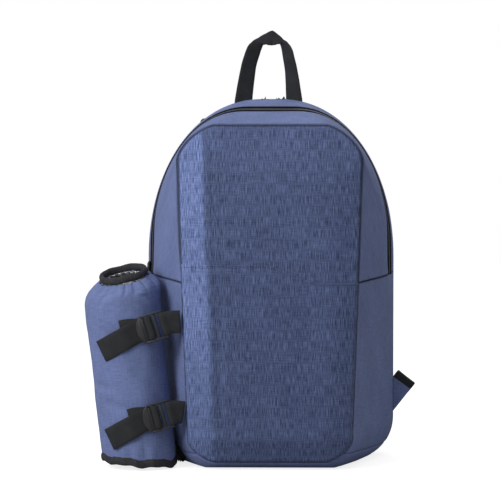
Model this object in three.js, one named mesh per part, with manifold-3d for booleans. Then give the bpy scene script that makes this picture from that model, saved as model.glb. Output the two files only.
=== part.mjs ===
// Cooler backpack with a bottle sleeve strapped to its left side.
// Millimetres, +Z up. The front faces -Y, and the origin is at the middle of the base, on the surface it stands on.
import * as THREE from "three";
import { mergeVertices } from "three/addons/utils/BufferGeometryUtils.js";
import Module from "manifold-3d";

const wasm = await Module();
wasm.setup();

// Clearance between neighbouring pieces
const GAP = 0.3;

// Bag body
const BAG_HEIGHT = 409;
const BAG_DEPTH = 160;
const BACK_WIDTH = 284;
const BACK_ARCH_HEIGHT = 185;
const BACK_TOP_FLAT = 20;
const BACK_CORNER_WIDTH = 31;
const BACK_CORNER_HEIGHT = 43;
const FRONT_HEIGHT = 376;
const FRONT_TOP_WIDTH = 203;
const FRONT_BASE_WIDTH = 180;
const FRONT_TOP_FLAT = 124;
const FRONT_SHOULDER_HEIGHT = 37;
const FRONT_CORNER_WIDTH = 30;
const FRONT_CORNER_HEIGHT = 32;
const TOP_SETBACK = 42; // how far the front leans back at its top
const SETBACK_START = 150; // height above which it starts to lean
const EDGE_LIFT = 8; // rise of the front seam above the floor
const BACK_LIFT = 2; // rise of the back seam above the floor
const SIDE_FULLNESS = 0.2; // outward belly of the band's walls, as a share of their spread
const FRONT_BULGE = 9;
const BACK_BULGE = 6;
const WALL = 3; // fabric, foam and foil of the insulated wall
const FRONT_WALL = 2.5;
const BACK_WALL = 5;
const SIDE_SEAM_HEIGHT = 205;
const BASE_SEAM_HEIGHT = 15;

// Front pocket
const POCKET_FABRIC = 1.5;
const POCKET_HIGH = 224; // height of its edge at the left
const POCKET_LOW = 204; // height of its edge at the right
const POCKET_CURVE_START = -9;
const POCKET_CURVE_END = 55;

// Zip
const ZIP_FROM_BACK = 40;
const ZIP_TAPE_WIDTH = 16;
const ZIP_COIL_WIDTH = 4;
const ZIP_TAPE_THICKNESS = 1.2;
const ZIP_RECESS = 0.6;
const ZIP_COIL_STAND = 0.9;
const SLIDER_LENGTH = 12;
const SLIDER_WIDTH = 9;
const SLIDER_THICKNESS = 3.4;
const PULL_LENGTH = 24;
const PULL_THICKNESS = 1.4;

// Webbing and ladder locks
const WEB_WIDTH = 25;
const WEB_THICKNESS = 1.5;
const LOCK_WIDTH = 31;
const LOCK_RAIL = 2.2;
const LOCK_RAIL_HEIGHT = 4.6;
const LOCK_TAB_LENGTH = 10;
const LOCK_TAB_THICKNESS = 2.4;
const LOCK_BAR_WIDTH = 4;
const LOCK_BAR_HEIGHT = 3.2;
const LOCK_SLOT = 3;
const LOCK_END_SLOT = 4.5;

// Grab handle
const HANDLE_WIDTH = 20;
const HANDLE_HEIGHT = 79;
const HANDLE_SPREAD = 59; // between the middles of its two legs
const HANDLE_SHIFT = -3; // it sits a little left of the middle
const HANDLE_SEWN = 14; // length sewn to the back panel

// Shoulder straps
const STRAP_WIDTH = 58;
const STRAP_END_WIDTH = 30;
const STRAP_THICKNESS = 10;
const STRAP_TOP_SPREAD = 104; // between the middles of the two straps at the top
const STRAP_STANDOFF = 45; // from the back to the middle of a strap
const STRAP_TOP_HEIGHT = 376;
const STRAP_END_HEIGHT = 178;
const STRAP_END_SPREAD = 172;
const STRAP_RAISED = { left: 7, right: 0 };
const STRAP_TAIL_HEIGHT = 26; // of the free end of a strap's webbing above the floor

// Fabric tabs at the lower corners of the back, which hold the shoulder straps' webbing
const TAB_THICKNESS = 2.4;
const TAB_TOP = 88;
const TAB_BASE = 47;
const TAB_REACH = 19;
const TAB_TIP_HEIGHT = 73;

// Bottle sleeve
const SLEEVE_RADIUS = 41;
const SLEEVE_HEIGHT = 213;
const SLEEVE_WALL = 3;
const SLEEVE_BASE_Y = -46;
const SLEEVE_NEAREST = 40; // height at which the bag's side sets the sleeve's distance
const SLEEVE_LEAN_ASIDE = 5.5; // degrees, away from the bag at the top
const SLEEVE_LEAN_BACK = 4.2; // degrees
const SLEEVE_CLEARANCE = 3; // between the foot of the sleeve and the side of the bag
const SHOULDER_HEIGHT = 26; // of the gathered part below the rim
const NECK_RADIUS = 24.4; // to the middle of the rim
const NECK_SHIFT = 4; // of the neck towards the bag
const RIM_THICKNESS = 5.2;
const RIM_HEIGHT = 7.5;
const RIM_TILT_FORWARD = 8; // degrees
const RIM_TILT_ASIDE = 7; // degrees
const FOOT_SLOPE = 4; // degrees, of the hem down towards the bag
const FOOT_SLOPE_HEIGHT = 60; // over which that slope fades
const HEM_HEIGHT = 9;
const HEM_THICKNESS = 3;
const SLEEVE_BASE_THICKNESS = 3;
const LINING_THICKNESS = 0.8;
const GATHER_DEPTH = 1.5;
const GATHER_COUNT = 8;
const ROUND_STEPS = 32;

// Straps of the sleeve. Each lock lies `aside` of the axis of the sleeve at its tab, and rises at `slope` degrees.
const SLEEVE_STRAPS = {
  upper: { aside: 14.5, height: 150.5, slope: 17, seam_height: 162, anchor_angle: -3, anchor_height: 149 },
  lower: { aside: 12.5, height: 54.5, slope: 15, seam_height: 63, anchor_angle: -2, anchor_height: 52.5 },
};
const TAIL_ANGLE = -37; // degrees round the sleeve, of the free end of a strap
const TAIL_DROP = 21;
const REAR_WEB = { height: 150, bend_y: 44, end_y: 66 };
const CORNER_WEB = { edge_y: -43, edge_z: 10, rise: 51.5, top: 44, base: 5 }; // `rise` is its slope in degrees

const STEPS = { base: 3, corner: 5, side: 7, arch: 9, top: 2 };

const lerp = THREE.MathUtils.lerp;
const clamp = THREE.MathUtils.clamp;
const radians = THREE.MathUtils.degToRad;
const smooth = THREE.MathUtils.smoothstep;
const vector = (x, y, z) => new THREE.Vector3(x, y, z);

// A value between the rows of a table, read from column `from` to column `to`.
function between(rows, from, to, at) {
  const next = rows.findIndex((row) => row[from] >= at);
  if (next <= 0) return rows.at(next < 0 ? -1 : 0)[to];
  const [a, b] = [rows[next - 1], rows[next]];
  return lerp(a[to], b[to], (at - a[from]) / (b[from] - a[from]));
}

// A closed body through loops of points. A cyclic one joins its last loop to its first, and any other has flat ends.
function loft(loops, cyclic = false) {
  const count = loops[0].length;
  const points = loops.flat();
  const faces = [];
  const index = (row, k) => (row % loops.length) * count + (k % count);
  const quad = (a, b, c, d) => faces.push(a, b, c, a, c, d);
  const spans = cyclic ? loops.length : loops.length - 1;
  for (let row = 0; row < spans; row++)
    for (let k = 0; k < count; k++) {
      const square = [index(row, k), index(row, k + 1), index(row + 1, k + 1), index(row + 1, k)];
      // Both halves of a loop are split along the same diagonals, so that parallel skins stay parallel.
      if (k >= count / 2) square.push(square.shift());
      quad(...square);
    }
  if (!cyclic)
    for (let k = 0; k < count / 2 - 1; k++) {
      const last = loops.length - 1;
      quad(index(0, k + 1), index(0, k), index(0, count - 1 - k), index(0, count - 2 - k));
      quad(index(last, k), index(last, k + 1), index(last, count - 2 - k), index(last, count - 1 - k));
    }
  return bodyOf(points, faces);
}

// A geometry whose faces point outwards, whichever way round they were listed.
function bodyOf(points, faces) {
  const volume = new THREE.Vector3();
  let total = 0;
  for (let i = 0; i < faces.length; i += 3) {
    const [a, b, c] = [points[faces[i]], points[faces[i + 1]], points[faces[i + 2]]];
    total += a.dot(volume.crossVectors(b, c));
  }
  if (total < 0) faces.reverse();
  const geometry = new THREE.BufferGeometry().setFromPoints(points);
  geometry.setIndex(faces);
  return geometry;
}

function solidOf(geometry) {
  const bare = geometry.clone();
  bare.deleteAttribute("normal");
  bare.deleteAttribute("uv");
  const merged = mergeVertices(bare, 1e-4);
  return new wasm.Manifold(
    new wasm.Mesh({
      numProp: 3,
      vertProperties: new Float32Array(merged.attributes.position.array),
      triVerts: new Uint32Array(merged.index.array),
    }),
  );
}

function geometryOf(solid) {
  const mesh = solid.getMesh();
  const geometry = new THREE.BufferGeometry();
  geometry.setAttribute("position", new THREE.BufferAttribute(mesh.vertProperties, 3));
  geometry.setIndex(new THREE.BufferAttribute(mesh.triVerts, 1));
  return geometry;
}

const FAR = 1000;

// A large block with one face at a height, depth or side, for cutting a body there.
function blockBelow(z) {
  return solidOf(new THREE.BoxGeometry(FAR, FAR, FAR).translate(0, 0, z - FAR / 2));
}

function slabBetween(yFront, yBack) {
  const depth = yBack - yFront;
  return solidOf(new THREE.BoxGeometry(FAR, depth, FAR).translate(0, yFront + depth / 2, 0));
}

function blockRight(x) {
  return solidOf(new THREE.BoxGeometry(FAR, FAR, FAR).translate(x + FAR / 2, 0, 0));
}

// Materials
const FABRIC = new THREE.MeshStandardMaterial({ name: "heather_fabric", color: 0x5b6a98, roughness: 0.9 });
const PLAIN_FABRIC = new THREE.MeshStandardMaterial({ name: "plain_fabric", color: 0x61709f, roughness: 0.85 });
const WEBBING = new THREE.MeshStandardMaterial({ name: "webbing", color: 0x2b2c30, roughness: 0.8 });
const ELASTIC = new THREE.MeshStandardMaterial({ name: "elastic", color: 0x303034, roughness: 0.9 });
const PLASTIC = new THREE.MeshStandardMaterial({ name: "plastic", color: 0x242528, roughness: 0.45 });
const ZIP_BLACK = new THREE.MeshStandardMaterial({ name: "zip", color: 0x202124, roughness: 0.7 });
const FOIL = new THREE.MeshStandardMaterial({ name: "foil", color: 0xd4d6da, roughness: 0.3, metalness: 0.9 });

function add(group, name, geometry, material) {
  const mesh = new THREE.Mesh(geometry, material);
  mesh.name = name;
  group.add(mesh);
  return mesh;
}

// The bag's outlines, seen from the front. Each is widest where its side meets its arch.
const FRONT_OUTLINE = {
  halfBase: FRONT_BASE_WIDTH / 2,
  halfTop: FRONT_TOP_WIDTH / 2,
  flatHalf: FRONT_TOP_FLAT / 2,
  base: 0,
  top: FRONT_HEIGHT,
  archStart: FRONT_HEIGHT - FRONT_SHOULDER_HEIGHT,
  cornerWide: FRONT_CORNER_WIDTH,
  cornerTall: FRONT_CORNER_HEIGHT,
  power: 1.5,
};
const BACK_OUTLINE = {
  halfBase: BACK_WIDTH / 2,
  halfTop: BACK_WIDTH / 2,
  flatHalf: BACK_TOP_FLAT / 2,
  base: 0,
  top: BAG_HEIGHT,
  archStart: BAG_HEIGHT - BACK_ARCH_HEIGHT,
  cornerWide: BACK_CORNER_WIDTH,
  cornerTall: BACK_CORNER_HEIGHT,
  power: 2.1,
};

function insetOutline(outline, by) {
  return {
    ...outline,
    halfBase: outline.halfBase - by,
    halfTop: outline.halfTop - by,
    base: outline.base + by,
    top: outline.top - by,
    cornerWide: outline.cornerWide - by,
    cornerTall: outline.cornerTall - by,
  };
}

// A quarter of a superellipse: how far across and up it is at a share of its turn.
function quarter(share, power) {
  const angle = (share * Math.PI) / 2;
  return [Math.max(Math.cos(angle), 0) ** (2 / power), Math.sin(angle) ** (2 / power)];
}

// One half of an outline, from the middle of the base round to the middle of the top, as [x, z].
function halfOutline(o) {
  const line = [];
  const cornerX = o.halfBase - o.cornerWide;
  const cornerTop = o.base + o.cornerTall;
  for (let i = 0; i < STEPS.base; i++) line.push([(cornerX * i) / STEPS.base, o.base]);
  for (let i = 0; i < STEPS.corner; i++) {
    const [across, up] = quarter(i / STEPS.corner, o.power);
    line.push([cornerX + o.cornerWide * up, cornerTop - o.cornerTall * across]);
  }
  for (let i = 0; i < STEPS.side; i++) {
    const share = i / STEPS.side;
    line.push([lerp(o.halfBase, o.halfTop, share), lerp(cornerTop, o.archStart, share)]);
  }
  for (let i = 0; i < STEPS.arch; i++) {
    const [across, up] = quarter(i / STEPS.arch, o.power);
    line.push([lerp(o.flatHalf, o.halfTop, across), lerp(o.archStart, o.top, up)]);
  }
  for (let i = 0; i <= STEPS.top; i++) line.push([o.flatHalf * (1 - i / STEPS.top), o.top]);
  return line;
}

const BACK_Y = BAG_DEPTH / 2;

// The outer face of the front panel at its seam.
function frontY(z) {
  const lean = clamp((z - SETBACK_START) / (FRONT_HEIGHT - SETBACK_START), 0, 1);
  return -BAG_DEPTH / 2 + TOP_SETBACK * lean ** 2;
}

// How far an edge of the base curves up from the floor, at a share of the depth.
const LIFT_SHARE = 0.14;
function baseLift(share, z, cornerTall) {
  const front = EDGE_LIFT * Math.max(0, 1 - share / LIFT_SHARE) ** 2;
  const back = BACK_LIFT * Math.max(0, 1 - (1 - share) / LIFT_SHARE) ** 2;
  return (front + back) * clamp(1 - z / cornerTall, 0, 1);
}

// The belly of the walls is in the upper sides and round the base, and fades towards the top.
function fullness(z) {
  const share = z / BAG_HEIGHT;
  const belly = Math.max(smooth(share, 0.3, 0.58), 0.7 * (1 - smooth(share, 0, 0.08)));
  return SIDE_FULLNESS * belly * (1 - smooth(share, 0.7, 0.98));
}

// Half of the band between front and back seam, at a share of its depth and inset by a thickness.
function halfBand(share, by) {
  const front = halfOutline(insetOutline(FRONT_OUTLINE, by));
  const back = halfOutline(insetOutline(BACK_OUTLINE, by));
  return front.map(([fx, fz], i) => {
    const [bx, bz] = back[i];
    const spread = share + fullness((fz + bz) / 2) * Math.sin(Math.PI * share);
    const z = lerp(fz, bz, spread);
    const y = lerp(frontY(fz) + FRONT_WALL + GAP, BACK_Y - BACK_WALL - GAP, share);
    return vector(lerp(fx, bx, spread), y, z + baseLift(share, z, FRONT_CORNER_HEIGHT));
  });
}

function bandLoop(share, by) {
  const half = halfBand(share, by);
  const mirrored = half.slice(1, -1).map((p) => vector(-p.x, p.y, p.z));
  return [...half, ...mirrored.reverse()];
}

// The band round the whole bag between two insets, as one closed ring.
const STATIONS = [0, 0.06, 0.14, 0.32, 0.5, 0.68, 0.86, 1];
function bandRing(outer, inner) {
  const loops = STATIONS.map((share) => bandLoop(share, outer));
  const inside = STATIONS.map((share) => bandLoop(share, inner));
  return solidOf(loft([...loops, ...inside.reverse()], true));
}

// Half the width of the bag's outer face at a depth and a height on its side.
function sideX(y, z) {
  const near = frontY(z) + FRONT_WALL + GAP;
  const far = BACK_Y - BACK_WALL - GAP;
  const half = halfBand(clamp((y - near) / (far - near), 0, 1), 0);
  const next = half.findIndex((p, i) => i > STEPS.base && p.z >= z);
  const [a, b] = [half[next - 1], half[next]];
  return lerp(a.x, b.x, (z - a.z) / (b.z - a.z));
}

// Front and back panels are grids whose rows follow the outline's corners, side and arch.
const FRONT_RISE = [
  { from_edge: 0, rise: 0 },
  { from_edge: 0.08, rise: 0.42 },
  { from_edge: 0.2, rise: 0.8 },
  { from_edge: 0.32, rise: 1 },
  { from_edge: 1, rise: 1.08 },
];
const BACK_RISE = [
  { from_edge: 0, rise: 0 },
  { from_edge: 0.09, rise: 0 },
  { from_edge: 0.25, rise: 0.8 },
  { from_edge: 1, rise: 1 },
];
const COLUMNS = [-1, -0.92, -0.8, -0.68, -0.35, 0, 0.35, 0.68, 0.8, 0.92, 1];
const RISE_FROM_BASE = 40;
const RISE_FROM_TOP = 60;

function panelRows(outline, lift) {
  const first = STEPS.base;
  const last = first + STEPS.corner + STEPS.side + STEPS.arch;
  return halfOutline(outline)
    .slice(first, last + 1)
    .map(([half, z]) => ({ half, z, height: z + lift * clamp(1 - z / outline.cornerTall, 0, 1) }));
}

function rise(table, across, z, top) {
  const upward = smooth(z, 0, RISE_FROM_BASE) * (1 - smooth(z, top - RISE_FROM_TOP, top));
  return between(table, "from_edge", "rise", 1 - Math.abs(across)) * upward;
}

function frontSkinY(across, z) {
  return frontY(z) - FRONT_BULGE * rise(FRONT_RISE, across, z, FRONT_HEIGHT);
}

function backSkinY(across, z) {
  return BACK_Y + BACK_BULGE * rise(BACK_RISE, across, z, BAG_HEIGHT);
}

// A panel between two depths, each given by its distance from the skin, positive towards the back.
function panel(rows, skinY, near, far) {
  return loft(
    rows.map((row) => {
      const line = (offset) =>
        COLUMNS.map((across) => vector(across * row.half, skinY(across, row.z) + offset, row.height));
      return [...line(near), ...line(far).reverse()];
    }),
  );
}

function pocketCutter() {
  const bend = (POCKET_CURVE_END - POCKET_CURVE_START) / 2;
  const shape = new THREE.Shape();
  shape.moveTo(-FAR, -FAR);
  shape.lineTo(-FAR, POCKET_HIGH);
  shape.lineTo(POCKET_CURVE_START, POCKET_HIGH);
  const low = POCKET_LOW;
  shape.bezierCurveTo(POCKET_CURVE_START + bend, POCKET_HIGH, POCKET_CURVE_END - bend, low, POCKET_CURVE_END, low);
  shape.lineTo(FAR, POCKET_LOW);
  shape.lineTo(FAR, -FAR);
  const block = new THREE.ExtrudeGeometry(shape, { depth: FAR, bevelEnabled: false, curveSegments: 8 });
  return solidOf(block.rotateX(Math.PI / 2).translate(0, FAR / 2, 0));
}

function buildPanels(bag) {
  const front = panelRows(FRONT_OUTLINE, EDGE_LIFT);
  add(bag, "front_panel", panel(front, frontSkinY, 0, FRONT_WALL), FABRIC);
  const pocket = solidOf(panel(front, frontSkinY, -GAP - POCKET_FABRIC, -GAP));
  add(bag, "front_pocket", geometryOf(pocket.intersect(pocketCutter())), FABRIC);
  const back = panelRows(BACK_OUTLINE, BACK_LIFT);
  add(bag, "back_panel", panel(back, backSkinY, -BACK_WALL, 0), PLAIN_FABRIC);
}

// The band is cut into the arch on either side of the zip, the two lower sides and the base.
const ZIP_Y = BACK_Y - ZIP_FROM_BACK;

function buildBand(bag) {
  const ring = bandRing(0, WALL);
  const arch = ring.subtract(blockBelow(SIDE_SEAM_HEIGHT + GAP / 2));
  const zipFront = ZIP_Y - ZIP_TAPE_WIDTH / 2 - GAP;
  const zipBack = ZIP_Y + ZIP_TAPE_WIDTH / 2 + GAP;
  add(bag, "gusset_front", geometryOf(arch.intersect(slabBetween(-FAR, zipFront))), FABRIC);
  add(bag, "gusset_back", geometryOf(arch.intersect(slabBetween(zipBack, FAR))), PLAIN_FABRIC);
  const lower = ring.intersect(blockBelow(SIDE_SEAM_HEIGHT - GAP / 2));
  const sides = lower.subtract(blockBelow(BASE_SEAM_HEIGHT + GAP / 2));
  add(bag, "side_right", geometryOf(sides.intersect(blockRight(0))), FABRIC);
  add(bag, "side_left", geometryOf(sides.subtract(blockRight(0))), FABRIC);
  add(bag, "base_panel", geometryOf(lower.intersect(blockBelow(BASE_SEAM_HEIGHT - GAP / 2))), PLAIN_FABRIC);
}

function buildZip(bag) {
  const above = blockBelow(SIDE_SEAM_HEIGHT + GAP / 2);
  const halfTape = ZIP_TAPE_WIDTH / 2;
  const halfCoil = ZIP_COIL_WIDTH / 2;
  const tape = bandRing(ZIP_RECESS, ZIP_RECESS + ZIP_TAPE_THICKNESS).subtract(above);
  const tapeFront = tape.intersect(slabBetween(ZIP_Y - halfTape, ZIP_Y - halfCoil - GAP));
  const tapeBack = tape.intersect(slabBetween(ZIP_Y + halfCoil + GAP, ZIP_Y + halfTape));
  const coil = bandRing(ZIP_RECESS - ZIP_COIL_STAND, ZIP_RECESS + ZIP_TAPE_THICKNESS).subtract(above);
  add(bag, "zip_tape_front", geometryOf(tapeFront), ZIP_BLACK);
  add(bag, "zip_tape_back", geometryOf(tapeBack), ZIP_BLACK);
  add(bag, "zip_coil", geometryOf(coil.intersect(slabBetween(ZIP_Y - halfCoil, ZIP_Y + halfCoil))), ZIP_BLACK);
  buildSlider(bag);
}

// The slider sits over the coil at the left end of the zip, with its pull hanging down, as one plain piece.
function buildSlider(bag) {
  const z = SIDE_SEAM_HEIGHT + SLIDER_LENGTH;
  const lean = Math.atan2(sideX(ZIP_Y, z + SLIDER_LENGTH) - sideX(ZIP_Y, z - SLIDER_LENGTH), 2 * SLIDER_LENGTH);
  const x = -sideX(ZIP_Y, z) - (ZIP_COIL_STAND - ZIP_RECESS) - GAP;
  const body = new THREE.Shape();
  const [half, high] = [SLIDER_LENGTH / 2, SLIDER_THICKNESS];
  body.moveTo(0, -half);
  body.lineTo(0, half);
  body.lineTo(-high * 0.7, half * 0.7);
  body.lineTo(-high, 0);
  body.lineTo(-high, -half);
  body.lineTo(-high, -half - PULL_LENGTH);
  body.lineTo(-high + PULL_THICKNESS, -half - PULL_LENGTH);
  body.lineTo(-high + PULL_THICKNESS, -half);
  const solid = new THREE.ExtrudeGeometry(body, { depth: SLIDER_WIDTH, bevelEnabled: false });
  solid.translate(0, 0, -SLIDER_WIDTH / 2).rotateX(Math.PI / 2);
  const slider = add(bag, "zip_slider", solid, PLASTIC);
  slider.position.set(x, ZIP_Y, z);
  slider.rotation.y = -lean;
}

// A strip through rows of a middle point and a direction across it, with its edges a little rounded.
function strip(rows, thickness) {
  const loops = rows.map((row, i) => {
    const ahead = rows[Math.min(i + 1, rows.length - 1)].at.clone();
    const along = ahead.sub(rows[Math.max(i - 1, 0)].at).normalize();
    const across = row.across.clone().addScaledVector(along, -along.dot(row.across)).normalize();
    const out = along.clone().cross(across);
    const [w, t] = [row.width / 2, thickness / 2];
    const edge = Math.min(t, w) * 0.7;
    const corners = [
      [-w, -t + edge],
      [-w + edge, -t],
      [w - edge, -t],
      [w, -t + edge],
      [w, t - edge],
      [w - edge, t],
      [-w + edge, t],
      [-w, t - edge],
    ];
    return corners.map(([a, b]) => row.at.clone().addScaledVector(across, a).addScaledVector(out, b));
  });
  return loft(loops);
}

// The grab handle rises from the top of the back panel and is pinched to a point at its top.
const HANDLE_ROWS = [
  { aside: 1, up: 0, back: 0, turn: 4, wide: 1 },
  { aside: 0.95, up: 0.2, back: 0, turn: 9, wide: 1 },
  { aside: 0.85, up: 0.41, back: 0, turn: 12, wide: 1 },
  { aside: 0.72, up: 0.61, back: -1, turn: 20, wide: 0.95 },
  { aside: 0.5, up: 0.735, back: -3, turn: 48, wide: 0.9 },
  { aside: 0.22, up: 0.82, back: -4, turn: 66, wide: 0.8 },
  { aside: 0, up: 0.875, back: -4, turn: 90, wide: 0.95 },
];

function buildHandle(bag) {
  const sewnY = BACK_Y + GAP + WEB_THICKNESS / 2 + 1;
  const top = BAG_HEIGHT;
  const legs = HANDLE_ROWS.map(({ aside, up, back, turn, wide }) => ({
    x: (aside * HANDLE_SPREAD) / 2,
    y: sewnY + back,
    z: top + up * HANDLE_HEIGHT,
    turn,
    wide,
  }));
  legs.unshift({ ...legs[0], z: top - HANDLE_SEWN });
  const row = (leg, side) => ({
    at: vector(HANDLE_SHIFT + side * leg.x, leg.y, leg.z),
    across: vector(side * Math.cos(radians(leg.turn)), 0, Math.sin(radians(leg.turn))),
    width: HANDLE_WIDTH * leg.wide,
  });
  const left = legs.map((leg) => row(leg, -1));
  const right = legs.slice(0, -1).map((leg) => row(leg, 1));
  add(bag, "grab_handle", strip([...left, ...right.reverse()], WEB_THICKNESS), WEBBING);
}

// A ladder lock lies along u from its thumb tab to its end bar, with v across it and n outwards.
// Its cross bars are, from the tab: one the webbing loops over, a plain one, and the end bar.
const TAB_END = LOCK_TAB_LENGTH;
const MIDDLE_BAR = TAB_END + LOCK_SLOT;
const PLAIN_BAR = MIDDLE_BAR + LOCK_BAR_WIDTH + LOCK_SLOT;
const END_BAR = PLAIN_BAR + LOCK_BAR_WIDTH + LOCK_END_SLOT;
const LOCK_LENGTH = END_BAR + LOCK_BAR_WIDTH;
const LAYER = WEB_THICKNESS + GAP;

// A strap's free end round the sleeve. `down` is a share of the tail's drop, `out` its distance from the sleeve.
const TAIL_ROWS = [
  { turn: -4, down: 0.3, out: LAYER + 0.9 },
  { turn: -15, down: 0.55, out: LAYER + 0.5 },
  { turn: -26, down: 0.78, out: 2 },
  { turn: TAIL_ANGLE, down: 1, out: 1.9 },
];
const UNDER = LOCK_BAR_HEIGHT / 2 + GAP + WEB_THICKNESS / 2;

function lockFrame(tab, end, outward) {
  const u = end.clone().sub(tab).normalize();
  const n = outward.clone().addScaledVector(u, -outward.dot(u)).normalize();
  const v = n.clone().cross(u);
  return { matrix: new THREE.Matrix4().makeBasis(u, v, n).setPosition(tab), u, v, n };
}

function inLock(frame, u, n) {
  return { at: vector(u, 0, n).applyMatrix4(frame.matrix), across: frame.v, width: WEB_WIDTH };
}

function barShape(from) {
  const [half, cut] = [LOCK_BAR_HEIGHT / 2, 0.9];
  const to = from + LOCK_BAR_WIDTH;
  const bar = new THREE.Shape();
  bar.moveTo(from + cut, -half).lineTo(to - cut, -half).lineTo(to, -half + cut).lineTo(to, half - cut);
  bar.lineTo(to - cut, half).lineTo(from + cut, half).lineTo(from, half - cut).lineTo(from, -half + cut);
  return bar;
}

function lockSolid() {
  const across = { depth: LOCK_WIDTH - 1, bevelEnabled: false };
  const turned = (geometry) => geometry.rotateX(Math.PI / 2).translate(0, (LOCK_WIDTH - 1) / 2, 0);
  const railLength = LOCK_LENGTH - TAB_END + 3;
  const rail = (side) =>
    new THREE.BoxGeometry(railLength, LOCK_RAIL, LOCK_RAIL_HEIGHT).translate(
      LOCK_LENGTH - railLength / 2,
      side * (LOCK_WIDTH / 2 - LOCK_RAIL / 2),
      0,
    );
  const thumb = new THREE.Shape();
  const half = LOCK_WIDTH / 2 - 0.5;
  thumb.moveTo(TAB_END, -half).lineTo(TAB_END, half).lineTo(5, half);
  thumb.bezierCurveTo(1, half * 0.9, 0, half * 0.5, 0, 0);
  thumb.bezierCurveTo(0, -half * 0.5, 1, -half * 0.9, 5, -half);
  const plate = { depth: LOCK_TAB_THICKNESS, bevelEnabled: false, curveSegments: 4 };
  let lock = solidOf(new THREE.ExtrudeGeometry(thumb, plate).translate(0, 0, -LOCK_TAB_THICKNESS / 2));
  for (const from of [MIDDLE_BAR, PLAIN_BAR, END_BAR])
    lock = lock.add(solidOf(turned(new THREE.ExtrudeGeometry(barShape(from), across))));
  return lock.add(solidOf(rail(1))).add(solidOf(rail(-1)));
}

// Webbing that comes in below a lock, loops over its middle bar and leaves again below its tab.
function threadedRows(frame, before, after) {
  const right = MIDDLE_BAR + LOCK_BAR_WIDTH + LOCK_SLOT / 2;
  const left = MIDDLE_BAR - LOCK_SLOT / 2;
  const path = [
    [TAB_END, -UNDER - LAYER],
    [right - 1.6, -UNDER - 0.9],
    [right, -1.5],
    [right, 1],
    [right - 1.5, UNDER + 0.1],
    [left + 1.5, UNDER + 0.1],
    [left, 1],
    [left, -1],
    [left - 1.7, -UNDER],
    [0, -UNDER],
  ];
  return [...before, ...path.map(([u, n]) => inLock(frame, u, n)), ...after];
}

// Webbing looped round the end bar of a lock, its short end below, that runs on to the rows after it.
function loopedRows(frame, length, after) {
  const left = END_BAR - GAP - WEB_THICKNESS / 2;
  const path = [
    [LOCK_LENGTH + length, -LAYER / 2],
    [LOCK_LENGTH + 3, -LAYER / 2 - 0.3],
    [LOCK_LENGTH - 1, -UNDER],
    [left + 1.4, -UNDER],
    [left, -0.9],
    [left, 0.9],
    [left + 1.4, UNDER],
    [LOCK_LENGTH - 1, UNDER],
    [LOCK_LENGTH + 3, LAYER / 2 + 0.3],
    [LOCK_LENGTH + length, LAYER / 2],
  ];
  return [...path.map(([u, n]) => inLock(frame, u, n)), ...after];
}

function addLock(group, name, frame) {
  const lock = add(group, name, geometryOf(lockSolid()), PLASTIC);
  lock.applyMatrix4(frame.matrix);
}

// The sleeve is built upright about its own axis, and then stood beside the bag.
const LEAN = {
  x: -Math.tan(radians(SLEEVE_LEAN_ASIDE)),
  y: Math.tan(radians(SLEEVE_LEAN_BACK)),
};
const SLEEVE_LIFT = SLEEVE_RADIUS * Math.tan(radians(FOOT_SLOPE)) + 2 * GAP;
const SLEEVE_BASE_X = -(sideX(SLEEVE_BASE_Y, SLEEVE_NEAREST) + SLEEVE_CLEARANCE + SLEEVE_RADIUS);

function sleeveMatrix() {
  const up = vector(LEAN.x, LEAN.y, 1).normalize();
  const front = vector(0, -1, 0).addScaledVector(up, up.y).normalize();
  const right = up.clone().cross(front);
  const basis = new THREE.Matrix4().makeBasis(right, front.clone().negate(), up);
  return basis.setPosition(SLEEVE_BASE_X, SLEEVE_BASE_Y, SLEEVE_LIFT);
}

// A point at an angle round the sleeve, from its front towards the bag, in the part's frame.
function onSleeve(angle, height, outward) {
  const turn = radians(angle);
  const r = SLEEVE_RADIUS + outward;
  return vector(r * Math.sin(turn), -r * Math.cos(turn), height).applyMatrix4(sleeveMatrix());
}

const SLEEVE_PROFILE = [
  { up: HEM_HEIGHT * 0.35, radius: SLEEVE_RADIUS - HEM_THICKNESS - GAP, gather: 0.3 },
  { up: HEM_HEIGHT + 1, radius: SLEEVE_RADIUS - HEM_THICKNESS - GAP, gather: 0.3 },
  { up: HEM_HEIGHT + 5, radius: SLEEVE_RADIUS - 0.4, gather: 0.3 },
  { up: HEM_HEIGHT + 24, radius: SLEEVE_RADIUS, gather: 0 },
  { up: SLEEVE_HEIGHT - SHOULDER_HEIGHT - 10, radius: SLEEVE_RADIUS, gather: 0 },
  { up: SLEEVE_HEIGHT - SHOULDER_HEIGHT, radius: SLEEVE_RADIUS - 1.2, gather: 0.5 },
  { up: SLEEVE_HEIGHT - SHOULDER_HEIGHT * 0.72, radius: lerp(NECK_RADIUS, SLEEVE_RADIUS, 0.74), gather: 1 },
  { up: SLEEVE_HEIGHT - RIM_HEIGHT - 1, radius: NECK_RADIUS + 2.4, gather: 0.7 },
];

// A ring of points round the sleeve's axis, shifted and tilted towards the neck, and nearly level at the foot.
function sleeveRing(up, radius, gather) {
  const neck = smooth(up, SLEEVE_HEIGHT - SHOULDER_HEIGHT - 10, SLEEVE_HEIGHT - RIM_HEIGHT);
  const foot = 1 - smooth(up, HEM_HEIGHT, FOOT_SLOPE_HEIGHT);
  return Array.from({ length: ROUND_STEPS }, (_, k) => {
    const turn = (2 * Math.PI * k) / ROUND_STEPS;
    const r = radius + gather * GATHER_DEPTH * Math.cos(GATHER_COUNT * turn);
    const [x, y] = [r * Math.sin(turn), -r * Math.cos(turn)];
    const rim = x * Math.tan(radians(RIM_TILT_ASIDE)) + y * Math.tan(radians(RIM_TILT_FORWARD));
    const level = x * (LEAN.x - Math.tan(radians(FOOT_SLOPE))) + y * LEAN.y;
    return vector(x + NECK_SHIFT * neck, y, up + rim * neck + level * foot);
  });
}

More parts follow.
